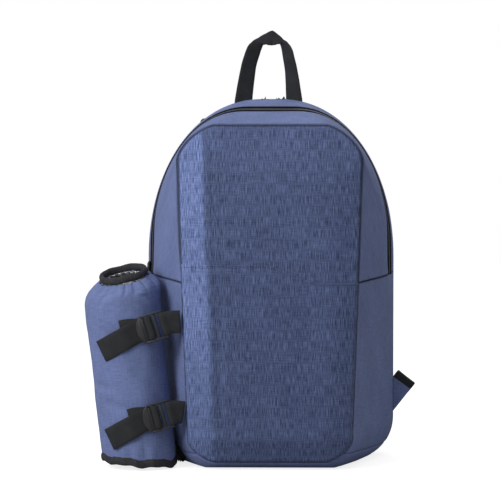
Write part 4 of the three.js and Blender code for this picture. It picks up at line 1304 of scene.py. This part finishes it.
def ring_point(up, radius, turn):
    """A place of the standing sleeve, whose rim is tilted forwards and whose foot is level."""
    neck = smooth(up, 177, 205.5)
    foot = 1 - smooth(up, 9, 60)
    x, y = radius * math.sin(turn), -radius * math.cos(turn)
    rim = x * RIM_ASIDE + y * RIM_FORWARD
    level = x * (LEAN.x - FOOT_SLOPE) + y * LEAN.y
    return STAND @ Vector((x + 4 * neck + 0.012 * (60 - up), y, up + rim * neck + level * foot))


def on_sleeve(angle, height, outward):
    """A place over the sleeve's upright wall, at an angle in degrees from its front."""
    turn, r = math.radians(angle), SLEEVE_RADIUS + outward
    return STAND @ Vector((r * math.sin(turn), -r * math.cos(turn), height))


SLEEVE_PROFILE = (
    (3, 39.4), (10, 40.4), (18, 41.0), (100, 41.2), (160, 42.2),
    (180, 42.2), (188, 41.2), (194, 38.6), (199, 34.4), (205, 27.0),
)  # fmt: skip
TURNS = [math.tau * i / 192 for i in range(193)]


def pleats(turn):
    """Irregular pleats round the neck, from -1 in a groove to 1 on a ridge."""
    ridge = abs(math.cos(8.5 * turn + 1.3 * math.sin(2 * turn + 0.4)))
    return (2 * ridge**0.6 - 1) * (0.75 + 0.25 * math.sin(5 * turn))


def sleeve_radius(turn, up):
    sewing = bpy.context.scene.bag_sewing
    gather = sewing.gather_depth / MM
    run = (turn if turn < math.pi else turn - math.tau) * SLEEVE_RADIUS
    neck = smooth(up, 176, 203)
    radius = between(SLEEVE_PROFILE, up)
    radius += gather * (0.8 * neck**1.6 * pleats(turn) + 0.42 * bump(up, 192, 11) * math.cos(8 * turn + 0.9))
    radius += 0.8 * (1 - smooth(up, 6, 26)) * math.cos(11 * turn + 1.5 * math.sin(3 * turn))
    soft = 1.0 * noise.noise(Vector((math.sin(turn) * 1.6, math.cos(turn) * 1.6, up / 46)))
    fine = 0.4 * noise.noise(Vector((math.sin(turn) * 4, math.cos(turn) * 4, up / 18 + 5)))
    body = smooth(up, 4, 20) * (1 - smooth(up, 185, 205))
    depth = (soft + fine) * body + fold_depth(SLEEVE_FOLDS, run, up)
    return radius - depth * sewing.fold_depth / MM


def hem_drop(turn):
    """How far the wavy foot of the sleeve hangs down."""
    return 1.3 * math.sin(7 * turn + 0.6) + 0.9 * math.sin(13 * turn)


def build_sleeve():
    def unrolled(turn, up):
        return up, turn * SLEEVE_RADIUS

    def place(turn, up):
        sag = hem_drop(turn) * (1 - smooth(up, 4, 30))
        return ring_point(up - sag, sleeve_radius(turn, up), turn)

    rows = steps(4, (20, 8), (172, 70), (205, 30))
    bm = map_grid(TURNS, rows, place, unrolled)
    outward(bm)
    face_out(bm, STAND @ Vector((0, 0, 100)))
    thicken(piece("sleeve_cloth", bm, side_fabric(), ("sleeve_body",)), 2.4)

    def inner(turn, up):
        crinkle = 0.4 * noise.noise(Vector((math.sin(turn) * 7, math.cos(turn) * 7, up / 9)))
        return ring_point(up, sleeve_radius(turn, up) - 3.6 - 2.6 * bump(up, 199, 16) + crinkle, turn)

    bm = map_grid(TURNS, steps(16, (205, 60)), inner, unrolled)
    outward(bm)
    face_out(bm, STAND @ Vector((0, 0, 100)))
    bmesh.ops.reverse_faces(bm, faces=bm.faces[:])
    thicken(piece("sleeve_foil", bm, foil_lining(), ("sleeve_lining",)), 0.5)
    disc = map_grid(
        TURNS[::4],
        steps(0.2, (36, 8)),
        lambda turn, r: ring_point(5.5 + 0.4 * waves(r * math.sin(turn), r * math.cos(turn), 15, 15, 2), r, turn),
        lambda turn, r: (r * math.sin(turn), r * math.cos(turn)),
    )
    outward(disc)
    thicken(piece("sleeve_foot", disc, side_fabric(), ("sleeve_base",)), 2.5, 0.0)


def face_out(bm, centre):
    """Turns the faces away from an axis that runs through a centre."""
    face = bm.faces[len(bm.faces) // 2]
    away = face.calc_center_median() / MM - centre
    away.z = 0
    if face.normal.dot(away) < 0:
        bmesh.ops.reverse_faces(bm, faces=bm.faces[:])


def bound_ring(name, section, round_shape, node):
    """Elastic binding round the sleeve: a closed section of (outward, up) corners, pleated as it goes round."""

    def place(turn, k):
        outward_by, up = section[k % len(section)]
        radius, height = round_shape(turn, outward_by, up)
        return ring_point(height, radius, turn)

    bm = map_grid(TURNS, range(len(section) + 1), place, lambda turn, k: (k * 1.6, turn * 30))
    outward(bm)
    return piece(name, bm, elastic_binding(), (node,))


def oval(half_wide, half_tall, corners=14):
    turns = [math.tau * k / corners for k in range(corners)]
    return [(half_wide * math.cos(a), half_tall * math.sin(a)) for a in turns]


RIM_HEIGHT, HEM_HEIGHT = 209.2, 5.1


def build_sleeve_binding():
    def rim_shape(turn, out, up):
        pucker = 0.28 * math.cos(46 * turn) + 0.5 * pleats(turn + 0.1)
        wave = 0.5 * math.sin(3 * turn + 0.5) + 0.3 * math.sin(7 * turn)
        return NECK_RADIUS + out * (1 + 0.08 * pucker) + 0.35 * pucker, RIM_HEIGHT + up + wave

    bound_ring("rim_binding", oval(2.6, 3.9), rim_shape, "sleeve_rim")

    def hem_shape(turn, out, up):
        pucker = 0.35 * math.cos(38 * turn + math.sin(4 * turn)) + 0.5 * noise.noise(Vector((turn * 3, 1, 2)))
        base = sleeve_radius(turn, 8)
        return base - 0.4 + out * 1.25 + 0.5 * pucker, HEM_HEIGHT + up * 0.92 - 0.6 * hem_drop(turn)

    bound_ring("foot_binding", oval(1.5, 5.0), hem_shape, "sleeve_hem")


# Ladder locks and webbing

WEB, WEB_THICK, GAP = 25, 1.5, 0.3
LOCK_WIDTH, LOCK_LENGTH = 31, 32.5
TAB_END, MIDDLE_BAR, PLAIN_BAR, END_BAR, BAR = 10, 13, 20, 28.5, 4
LAYER, UNDER = WEB_THICK + GAP, 1.6 + GAP + WEB_THICK / 2

LockFrame = namedtuple("LockFrame", "matrix u v n")


def lock_frame(tab, end, facing):
    """The frame of a lock between the end of its tab and its far end: along, across and out of it."""
    u = (end - tab).normalized()
    n = (facing - u * facing.dot(u)).normalized()
    v = n.cross(u)
    basis = Matrix((u, v, n)).transposed().to_4x4()
    return LockFrame(Matrix.Translation(tab) @ basis, u, v, n)


def in_lock(lock, u, n):
    """A row of webbing across a lock."""
    return Row(lock.matrix @ Vector((u, 0, n)), lock.v, WEB)


def build_lock(name, lock, node):
    bm = bmesh.new()
    half = LOCK_WIDTH / 2
    shape = Matrix.Translation((TAB_END, 0, -1.2)) @ Matrix.Diagonal((TAB_END, half - 0.4, 1, 1))
    bmesh.ops.create_circle(bm, cap_ends=True, segments=40, radius=1.0, matrix=shape)
    bmesh.ops.bisect_plane(bm, geom=all_of(bm), plane_co=(TAB_END, 0, 0), plane_no=(1, 0, 0), clear_outer=True)
    extruded(bm, (0, 0, 2.4))
    sharp = [e for e in bm.edges if len(e.link_faces) == 2 and e.calc_face_angle() > 1.0]
    bmesh.ops.bevel(bm, geom=sharp, offset=0.7, segments=2, profile=0.5, affect="EDGES", material=-1)
    for from_u in (TAB_END - 0.2, TAB_END - 2.6):
        block(bm, (from_u - 1.0, -half + 3, 0.9), (from_u, half - 3, 1.7), 0.35)
    for start in (MIDDLE_BAR, PLAIN_BAR, END_BAR):
        block(bm, (start, -half + 1, -1.6), (start + BAR, half - 1, 1.6), 1.1)
    block(bm, (TAB_END - 0.6, -half + 1, -1.2), (TAB_END + 0.8, half - 1, 1.2), 0.4)
    for side in (-1, 1):
        low, high = sorted((side * half, side * (half - 2.2)))
        block(bm, (TAB_END - 3, low, -2.3), (LOCK_LENGTH, high, 2.3), 0.8)
    scaled_up(bm, lock.matrix)
    piece(name, bm, moulded_plastic(), (node,))


def threaded(lock, before, after):
    """Webbing that comes in below a lock, loops over its middle bar and leaves again below its tab."""
    right, left = MIDDLE_BAR + BAR + 1.5, MIDDLE_BAR - 1.5
    path = (
        (TAB_END, -UNDER - LAYER),
        (right - 1.6, -UNDER - 0.9),
        (right, -1.5),
        (right, 1),
        (right - 1.5, UNDER + 0.1),
        (left + 1.5, UNDER + 0.1),
        (left, 1),
        (left, -1),
        (left - 1.7, -UNDER),
        (0, -UNDER),
    )
    return [*before, *[in_lock(lock, u, n) for u, n in path], *after]


def looped(lock, long, after):
    """Webbing looped round the end bar of a lock, which runs on to the rows after it."""
    left = END_BAR - GAP - WEB_THICK / 2
    path = (
        (LOCK_LENGTH + long, -LAYER / 2),
        (LOCK_LENGTH + 3, -LAYER / 2 - 0.3),
        (LOCK_LENGTH - 1, -UNDER),
        (left + 1.4, -UNDER),
        (left, -0.9),
        (left, 0.9),
        (left + 1.4, UNDER),
        (LOCK_LENGTH - 1, UNDER),
        (LOCK_LENGTH + 3, LAYER / 2 + 0.3),
        (LOCK_LENGTH + long, LAYER / 2),
    )
    return [*[in_lock(lock, u, n) for u, n in path], *after]


SleeveStrap = namedtuple("SleeveStrap", "aside height slope seam_height anchor_angle anchor_height")
SLEEVE_STRAPS = {
    "upper": SleeveStrap(14.5, 150.5, 17, 162, -3, 149),
    "lower": SleeveStrap(12.5, 54.5, 15, 63, -2, 52.5),
}
TAIL_ANGLE, TAIL_DROP = -37, 21


def seam_point(z):
    """Where webbing sewn into the left front seam meets it."""
    low, high = float(CORNER), float(TOP)
    for _ in range(30):
        t = (low + high) / 2
        low, high = (t, high) if panel_height(FRONT, outline_point(FRONT, t)[1], LIFT) < z else (low, t)
    return Vector((-outline_point(FRONT, t)[0] - 2.4, front_y(z) - GAP, z))


def build_sleeve_straps():
    off = GAP + WEB_THICK / 2
    for name, strap in SLEEVE_STRAPS.items():
        up = strap.height - SLEEVE_LIFT
        axis = on_sleeve(0, up, -SLEEVE_RADIUS)
        angle = math.degrees(math.asin(strap.aside / SLEEVE_RADIUS))
        surface = on_sleeve(angle, up, off + LAYER + UNDER + 0.8)
        tab = Vector((axis.x + strap.aside, surface.y, strap.height))
        slope, seam = math.radians(strap.slope), seam_point(strap.seam_height)
        inward = (seam.y - tab.y) / (seam.x - tab.x)
        along = Vector((math.cos(slope), inward * math.cos(slope), math.sin(slope))).normalized()
        lock = lock_frame(tab, tab + along * LOCK_LENGTH, Vector((0, -1, 0)))

        def wrapped(turn, height, outward_by):
            return Row(on_sleeve(turn, height - SLEEVE_LIFT, outward_by), lock.v, WEB)

        sewn_at, low = strap.anchor_height, strap.height - TAIL_DROP
        before = [
            wrapped(strap.anchor_angle - 1, sewn_at, off + 1.1),
            wrapped(strap.anchor_angle + 9, lerp(sewn_at, strap.height, 0.5), off + 1.1),
        ]
        tail = [
            wrapped(0, lerp(strap.height, low, 0.46), off + LAYER + 1.2),
            wrapped(-15, lerp(strap.height, low, 0.69), off + LAYER + 0.5),
            wrapped(-26, lerp(strap.height, low, 0.86), off + 2),
            wrapped(TAIL_ANGLE, low, off + 2.4),
        ]
        bm = ribbon(threaded(lock, before, tail), WEB_THICK, 1.5, wobble=0.25)
        piece(f"sleeve_strap_{name}", bm, webbing(), (f"sleeve_web_{name}",))
        build_lock(f"ladder_lock_{name}", lock, f"sleeve_lock_{name}")
        rows = looped(lock, 5, [Row(seam, Vector((0, 0, 1)), WEB)])
        bm = ribbon(rows, WEB_THICK, 1.5, wobble=0.2)
        piece(f"bag_strap_{name}", bm, webbing(), (f"bag_web_{name}",))


REAR_STRAP_HEIGHT = 150
CORNER_STRAP_START, CORNER_STRAP_LENGTH = (-43, 10), 42


def build_sewn_webbing():
    off, z, up = GAP + WEB_THICK / 2, REAR_STRAP_HEIGHT, Vector((0, 0, 1))
    rows = [Row(on_sleeve(angle, z - SLEEVE_LIFT, off + 1.4), up, WEB) for angle in (244, 231, 218)]
    rows += [Row(Vector((-side_x(y, z) - off - 2, y, z)), up, WEB) for y in (44, 66)]
    piece("rear_strap", ribbon(rows, WEB_THICK, 2.0, wobble=0.2), webbing(), ("rear_web",))
    along, across = Vector((0.6225, 0.7826)), Vector((0.7826, -0.6225))

    def place(a, b):
        y, z = Vector(CORNER_STRAP_START) + across * a + along * b
        z = max(z, 3.0)
        return Vector((-side_x(y, z) - 0.4, y, z))

    bm = map_grid(steps(0, (WEB, 12)), steps(0, (CORNER_STRAP_LENGTH, 26)), place, lambda a, b: (a, b))
    bmesh.ops.recalc_face_normals(bm, faces=bm.faces[:])
    face_towards(bm, Vector((-1, 0, 0)))
    thicken(piece("corner_strap", bm, webbing(), ("corner_web",)), WEB_THICK, 1.0)


# The grab handle and the shoulder straps

# The two edges of the handle's webbing, from its left end over its pinched top to its right end: x and z of the
# outer edge, x and z of the inner edge, and how far forward the outer edge is turned.
HANDLE_EDGES = (
    (-42.5, 395, -22.0, 395, 2), (-42.0, 409, -21.5, 409, 2.5), (-35.3, 444.4, -17.6, 444.4, 3.5),
    (-30.8, 460.8, -13.4, 459.8, 3.5), (-27.2, 469.8, -10.4, 468.5, 3), (-23.4, 474.3, -8.7, 471.9, 1.5),
    (-14.8, 480.2, -6.3, 472.2, -1.5), (-6.3, 485.2, -3.4, 471.2, -2), (1.4, 488.6, 0.8, 470.8, 0),
    (7.9, 484.2, 4.9, 471.3, -2), (14.5, 478.0, 7.7, 472.4, -1.5), (20.6, 472.8, 10.0, 472.8, 1.5),
    (25.0, 465.6, 11.8, 467.5, 3), (27.4, 456.0, 13.3, 458.9, 3.5), (31.2, 438.8, 16.1, 440.6, 3.5),
    (36.2, 409, 17.2, 409, 2.5), (36.8, 395, 17.6, 395, 2),
)  # fmt: skip
HANDLE_Y = 82.05


def build_handle():
    rows = []
    for x0, z0, x1, z1, forward in HANDLE_EDGES:
        outer, inner = Vector((x0, HANDLE_Y - forward, z0)), Vector((x1, HANDLE_Y + forward, z1))
        rows.append(Row((outer + inner) / 2, (inner - outer).normalized(), (inner - outer).length))
    bm = ribbon(rows, WEB_THICK, 1.5, wobble=0.2, straight=False)
    piece("handle_webbing", bm, webbing(), ("grab_handle",))


STRAP_ROWS = (
    (0, 0, 0, 1), (0, 0.28, -0.012, 1), (0.02, 0.6, 0.015, 1), (0.05, 0.86, 0.09, 1), (0.12, 1, 0.22, 1),
    (0.22, 1.04, 0.4, 1), (0.38, 0.96, 0.6, 0.95), (0.62, 0.76, 0.8, 0.8), (1, 0.52, 1, 30 / 58),
)  # aside, out, down, wide  # fmt: skip
SLACK_ROWS = ((1, 1, 5), (8, 10, 8.5), (17, 15, 11), (28, 13, 14), (37, 4, 17), (43, -10, 20))  # inwards, drop, back
STRAP_WIDTH, STRAP_BACK, STRAP_OUT = 58, 84.47, 45
STRAP_TOP, STRAP_END = 376, 178
SPREAD_TOP, SPREAD_END = 104, 172
TAB_BASE, TAB_TOP, TAB_TIP, TAB_REACH, TAB_X, TAB_Y = 47, 88, 73, 19, 142.9, 77.5
TAB_HALF_THICK = 1.3


def strap_rows(side):
    """Rows down the middle of a shoulder strap. The left one sits a little higher."""
    raised = 3.5 if side < 0 else -3
    rows = []
    for aside, out, down, wide in STRAP_ROWS:
        top = STRAP_TOP + raised * clamp(1 - down * 2)
        x = side * lerp(SPREAD_TOP, SPREAD_END, aside) / 2
        at = Vector((x, STRAP_BACK + out * STRAP_OUT, lerp(top, STRAP_END, down)))
        rows.append(Row(at, Vector((-1, 0, 0)), STRAP_WIDTH * wide))
    return rows


def pad_mesh(rows, thickness):
    """A padded strap as a closed form with rounded edges."""
    rows = smooth_rows(rows, 4.0)
    corners = []
    for k in range(32):
        c, d = math.cos(math.tau * k / 32), math.sin(math.tau * k / 32)
        corners.append((math.copysign(abs(c) ** 0.35, c), math.copysign(abs(d) ** 0.7, d)))
    last = len(rows) - 1

    def place(k, i):
        a, b = corners[k % 32]
        across, out = frame_at(rows, i)
        end = 1 - 0.45 * max(bump(i, 0, 1.2), bump(i, last, 1.2))
        return rows[i].at + across * (a * rows[i].width / 2) + out * (b * thickness / 2 * end)

    bm = map_grid(range(33), range(len(rows)), place, lambda k, i: (k, i))
    close_ends(bm)
    return bm


def strap_parts(side):
    """The lock, the hinge at the tab and the rows of one shoulder strap."""
    rows = strap_rows(side)
    hinge = Vector((side * (TAB_X + TAB_REACH / 2), TAB_Y, (TAB_TOP + TAB_TIP) / 2))
    end = rows[-1].at
    to_tab = (Vector((hinge.x * 0.8, end.y - 10, hinge.z + 15)) - end).normalized()
    top = end + to_tab * 16
    return rows, hinge, lock_frame(top + to_tab * LOCK_LENGTH, top, Vector((0, 1, 0)))


PAD_THICK = 8.0


def build_shoulder_straps():
    for name, side in (("left", -1), ("right", 1)):
        rows = strap_rows(side)
        nodes = (f"shoulder_strap_{name}",)
        obj = piece(f"shoulder_pad_{name}", pad_mesh(rows, PAD_THICK), pad_fabric(), nodes)
        swell(obj, 4.0, 3.0, 2.2)
        smoothed = smooth_rows(rows, 3.0)
        for edge in (-1, 1):
            build_strap_binding(f"strap_binding_{name}_{'outer' if edge == side else 'inner'}", smoothed, edge)


BINDING_TURN = 112  # degrees by which the strap's binding is folded to either side
BINDING_INSET, BINDING_WIDE, BINDING_HIGH = 3.2, 4.4, 4.9


def build_strap_binding(name, rows, edge):
    """Tape folded round one edge of a shoulder strap."""
    last = len(rows) - 1

    def place(k, i):
        across, out = frame_at(rows, i)
        a = math.radians(lerp(-BINDING_TURN, BINDING_TURN, k / 10))
        reach = rows[i].width / 2 - BINDING_INSET + BINDING_WIDE * math.cos(a)
        return rows[i].at + across * (edge * reach) + out * (BINDING_HIGH * math.sin(a))

    bm = map_grid(range(11), range(1, last), place, lambda k, i: (k * 1.1, i * 3))
    bmesh.ops.recalc_face_normals(bm, faces=bm.faces[:])
    middle = bm.faces[len(bm.faces) // 2]
    if middle.normal.x * edge > 0:
        bmesh.ops.reverse_faces(bm, faces=bm.faces[:])
    thicken(piece(name, bm, elastic_binding(), ()), 0.6)


SEWN_PLACES = 3  # places of the lower webbing that lie flat on the tab
TAIL_FOOT = 26


def build_strap_webbing():
    for name, side in (("left", -1), ("right", 1)):
        rows, hinge, lock = strap_parts(side)
        build_lock(f"strap_ladder_{name}", lock, f"strap_lock_{name}")
        last = (rows[-1].at - rows[-2].at).normalized()
        across = Vector((-1, 0, 0))
        level = (across - last * last.dot(across)) * math.copysign(1, -lock.v.x)
        pad = Row(rows[-1].at - last * 6, level, WEB)
        eased = Row(pad.at + last * 9, level, WEB)
        bm = ribbon(looped(lock, 2, [eased, pad]), WEB_THICK, 1.5)
        piece(f"strap_end_{name}", bm, webbing(), (f"strap_loop_{name}",))
        slant = Vector((side * TAB_REACH, 0, TAB_TIP - TAB_TOP)).normalized()
        beyond = Vector((-side * slant.z, 0, side * slant.x))
        start = hinge + beyond * 0.5
        fold = start + beyond * 7
        slack = [Vector((fold.x - side * i, fold.y + b, fold.z - d)) for i, d, b in SLACK_ROWS]
        line = [start - beyond * 4, fold, *slack, in_lock(lock, -6, -UNDER - LAYER).at]
        flip = -1 if lock.v.dot(slant) < 0 else 1
        before = []
        for i, at in enumerate(line):
            if i < SEWN_PLACES:
                before.append(Row(at, slant * flip, WEB))
                continue
            ahead = line[i + 1] if i + 1 < len(line) else at + lock.u * 6
            along = ahead - line[i - 1]
            turned = Vector((along.z, 0, -along.x)).normalized()
            before.append(Row(at, -turned if turned.dot(lock.v) < 0 else turned, WEB))
        leaves = in_lock(lock, -6, -UNDER).at
        tail = [Vector((leaves.x, leaves.y + 4 * s, lerp(leaves.z, TAIL_FOOT, s))) for s in (0.15, 0.45, 1)]
        after = [Row(at, lock.v, WEB) for at in tail]
        end = tail[-1]
        after += [Row(end + Vector((0, 0.9, -0.6)), lock.v, WEB), Row(end + Vector((0, 1.8, 0)), lock.v, WEB)]
        after.append(Row(end + Vector((0, 1.9, 11)), lock.v, WEB))
        bm = ribbon(threaded(lock, before, after), WEB_THICK, 2.0, wobble=0.4)
        piece(f"strap_webbing_{name}", bm, webbing(), (f"strap_web_{name}",))


def build_strap_tabs():
    for name, side in (("left", -1), ("right", 1)):
        bm = bmesh.new()
        corners = ((-1.5, TAB_BASE), (TAB_REACH, TAB_TIP), (-1.5, TAB_TOP))
        verts = [bm.verts.new((side * (TAB_X + x), TAB_Y - TAB_HALF_THICK, z)) for x, z in corners]
        bm.faces.new(verts)
        extruded(bm, (0, 2 * TAB_HALF_THICK, 0))
        bmesh.ops.bevel(bm, geom=bm.edges[:], offset=0.8, segments=3, profile=0.5, affect="EDGES", material=-1)
        scaled_up(bm)
        piece(f"tab_cloth_{name}", bm, pad_fabric(), (f"strap_tab_{name}",))


# The studio


LOOKED_AT = -0.023, 0.0, 0.237  # metres


def build_stage():
    studio = bpy.context.scene.bag_studio
    bm = bmesh.new()
    bmesh.ops.create_grid(bm, x_segments=4, y_segments=4, size=9.0)
    bmesh.ops.translate(bm, vec=(0, 0, -0.0003), verts=bm.verts[:])
    mesh = bpy.data.meshes.new("floor")
    bm.to_mesh(mesh)
    bm.free()
    floor = add_object("floor", mesh)
    material, shader, surface = finish_material("Pale floor", Roughness=0.9)
    surface.inputs["Emission Color"].default_value = (1, 1, 1, 1)
    seen = shader.node("ShaderNodeLightPath").outputs["Is Camera Ray"]
    shader.tree.links.new(shader.remap(seen, 0.0, 1.0, 0.0, 0.8), surface.inputs["Emission Strength"])
    grain = shader.noise(shader.node("ShaderNodeTexCoord").outputs["Object"], 3.0)
    tone = shader.remap(grain, 0.3, 0.7, 0.38, 0.42)
    join(shader, surface, shader.vector(tone, tone, tone))
    mesh.materials.append(material)
    floor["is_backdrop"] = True
    target = Vector(LOOKED_AT)

    def towards(azimuth, elevation):
        flat = math.cos(elevation)
        return Vector((math.sin(azimuth) * flat, -math.cos(azimuth) * flat, math.sin(elevation)))

    camera = add_object("camera", bpy.data.cameras.new("camera"))
    back = towards(studio.azimuth, studio.elevation)
    camera.location = target + back * studio.distance
    camera.rotation_euler = (-back).to_track_quat("-Z", "Y").to_euler()
    camera.data.sensor_width, camera.data.lens = 36.0, studio.lens
    camera.data.clip_start, camera.data.clip_end = 0.05, 50
    bpy.context.scene.camera = camera
    for name, azimuth, elevation, far, size, power in (
        ("key_light", -47, 25, 2.2, 1.3, studio.key),
        ("top_light", -10, 80, 1.6, 1.2, studio.top),
        ("back_light", 160, 35, 2.2, 1.3, studio.back),
    ):
        data = bpy.data.lights.new(name, "AREA")
        data.shape, data.size, data.energy = "DISK", size, power
        light = add_object(name, data)
        away = towards(math.radians(azimuth), math.radians(elevation))
        light.location = target + away * far
        light.rotation_euler = (-away).to_track_quat("-Z", "Y").to_euler()
    world = bpy.data.worlds.new("studio")
    bpy.context.scene.world = world
    world.use_nodes = True
    shader = Shader(world.node_tree)
    seen = world.node_tree.nodes["Background"]
    seen.inputs["Color"].default_value = (1, 1, 1, 1)
    path = shader.node("ShaderNodeLightPath").outputs["Is Camera Ray"]
    inputs = {"Value": path, 3: studio.ambient, 4: 1.0}
    strength = shader.node("ShaderNodeMapRange", inputs).outputs["Result"]
    world.node_tree.links.new(strength, seen.inputs["Strength"])
    bpy.context.scene.view_settings.view_transform = "Standard"


# Operators and panel


class COOLER_BAG_OT_stage(bpy.types.Operator):
    """Adds the pale floor, the soft lights and the camera"""

    bl_idname = "cooler_bag.stage"
    bl_label = "Studio"

    def execute(self, context):
        build_stage()
        return {"FINISHED"}


class COOLER_BAG_OT_front_panel(bpy.types.Operator):
    """Makes the front's cloth with its crease and folds"""

    bl_idname = "cooler_bag.front_panel"
    bl_label = "Front panel"

    def execute(self, context):
        build_front_panel()
        return {"FINISHED"}


class COOLER_BAG_OT_front_pocket(bpy.types.Operator):
    """Makes the pocket's cloth and the stitching along its curved edge"""

    bl_idname = "cooler_bag.front_pocket"
    bl_label = "Front pocket"

    def execute(self, context):
        build_front_pocket()
        return {"FINISHED"}


class COOLER_BAG_OT_gussets(bpy.types.Operator):
    """Makes the cloth of the arch on either side of the zip"""

    bl_idname = "cooler_bag.gussets"
    bl_label = "Gussets"

    def execute(self, context):
        build_gussets()
        return {"FINISHED"}


class COOLER_BAG_OT_sides(bpy.types.Operator):
    """Makes the cloth of the two lower sides"""

    bl_idname = "cooler_bag.sides"
    bl_label = "Sides"

    def execute(self, context):
        build_sides()
        return {"FINISHED"}


class COOLER_BAG_OT_base(bpy.types.Operator):
    """Makes the cloth of the base"""

    bl_idname = "cooler_bag.base"
    bl_label = "Base"

    def execute(self, context):
        build_base()
        return {"FINISHED"}


class COOLER_BAG_OT_back_panel(bpy.types.Operator):
    """Makes the padded back"""

    bl_idname = "cooler_bag.back_panel"
    bl_label = "Back panel"

    def execute(self, context):
        build_back_panel()
        return {"FINISHED"}


class COOLER_BAG_OT_zip(bpy.types.Operator):
    """Makes the zip's tapes, teeth, stitching and slider"""

    bl_idname = "cooler_bag.zip"
    bl_label = "Zip"

    def execute(self, context):
        build_zip()
        return {"FINISHED"}


class COOLER_BAG_OT_handle(bpy.types.Operator):
    """Makes the pinched loop of webbing at the top"""

    bl_idname = "cooler_bag.handle"
    bl_label = "Grab handle"

    def execute(self, context):
        build_handle()
        return {"FINISHED"}


class COOLER_BAG_OT_shoulder_straps(bpy.types.Operator):
    """Makes the two padded straps and their bound edges"""

    bl_idname = "cooler_bag.shoulder_straps"
    bl_label = "Shoulder straps"

    def execute(self, context):
        build_shoulder_straps()
        return {"FINISHED"}


class COOLER_BAG_OT_strap_webbing(bpy.types.Operator):
    """Makes the locks and webbing below the shoulder straps"""

    bl_idname = "cooler_bag.strap_webbing"
    bl_label = "Strap webbing"

    def execute(self, context):
        build_strap_webbing()
        return {"FINISHED"}


class COOLER_BAG_OT_strap_tabs(bpy.types.Operator):
    """Makes the cloth tabs at the lower corners of the back"""

    bl_idname = "cooler_bag.strap_tabs"
    bl_label = "Strap tabs"

    def execute(self, context):
        build_strap_tabs()
        return {"FINISHED"}


class COOLER_BAG_OT_sleeve(bpy.types.Operator):
    """Makes the sleeve's cloth, foil lining and foot"""

    bl_idname = "cooler_bag.sleeve"
    bl_label = "Bottle sleeve"

    def execute(self, context):
        build_sleeve()
        return {"FINISHED"}


class COOLER_BAG_OT_sleeve_binding(bpy.types.Operator):
    """Makes the elastic round the sleeve's mouth and foot"""

    bl_idname = "cooler_bag.sleeve_binding"
    bl_label = "Sleeve binding"

    def execute(self, context):
        build_sleeve_binding()
        return {"FINISHED"}


class COOLER_BAG_OT_sleeve_straps(bpy.types.Operator):
    """Makes the webbing and ladder locks that hold the sleeve"""

    bl_idname = "cooler_bag.sleeve_straps"
    bl_label = "Sleeve straps"

    def execute(self, context):
        build_sleeve_straps()
        return {"FINISHED"}


class COOLER_BAG_OT_sewn_webbing(bpy.types.Operator):
    """Makes the webbing behind the sleeve and at the lower corner"""

    bl_idname = "cooler_bag.sewn_webbing"
    bl_label = "Sewn webbing"

    def execute(self, context):
        build_sewn_webbing()
        return {"FINISHED"}


class COOLER_BAG_PT_parts(bpy.types.Panel):
    """The bag's pieces and their sizes and colours."""

    bl_idname = "COOLER_BAG_PT_parts"
    bl_label = "Cooler bag"
    bl_space_type = "VIEW_3D"
    bl_region_type = "UI"
    bl_category = "Cooler bag"

    def draw(self, context):
        for made in OPERATORS:
            self.layout.operator(made.bl_idname)
        for group in GROUPS:
            settings = getattr(context.scene, group)
            box = self.layout.box()
            for key in settings.bl_rna.properties.keys():
                if key not in ("rna_type", "name"):
                    box.prop(settings, key)


OPERATORS = (
    COOLER_BAG_OT_stage,
    COOLER_BAG_OT_front_panel,
    COOLER_BAG_OT_front_pocket,
    COOLER_BAG_OT_gussets,
    COOLER_BAG_OT_sides,
    COOLER_BAG_OT_base,
    COOLER_BAG_OT_back_panel,
    COOLER_BAG_OT_zip,
    COOLER_BAG_OT_handle,
    COOLER_BAG_OT_shoulder_straps,
    COOLER_BAG_OT_strap_webbing,
    COOLER_BAG_OT_strap_tabs,
    COOLER_BAG_OT_sleeve,
    COOLER_BAG_OT_sleeve_binding,
    COOLER_BAG_OT_sleeve_straps,
    COOLER_BAG_OT_sewn_webbing,
)
GROUPS = {
    "bag_sewing": BagSewing,
    "bag_weave": BagWeave,
    "bag_colours": BagColours,
    "bag_studio": BagStudio,
}
CLASSES = (*GROUPS.values(), *OPERATORS, COOLER_BAG_PT_parts)


def register():
    for made in CLASSES:
        bpy.utils.register_class(made)
    for name, group in GROUPS.items():
        setattr(bpy.types.Scene, name, PointerProperty(type=group))


def unregister():
    for name in GROUPS:
        delattr(bpy.types.Scene, name)
    for made in reversed(CLASSES):
        bpy.utils.unregister_class(made)


def main():
    register()
    for made in OPERATORS:
        area, name = made.bl_idname.split(".")
        getattr(getattr(bpy.ops, area), name)()
    boxes = {"cad": CAD_BOX, "visual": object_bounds()}
    {name: [list(low), list(high)] for name, (low, high) in boxes.items()}


if __name__ == "__main__":
    main()
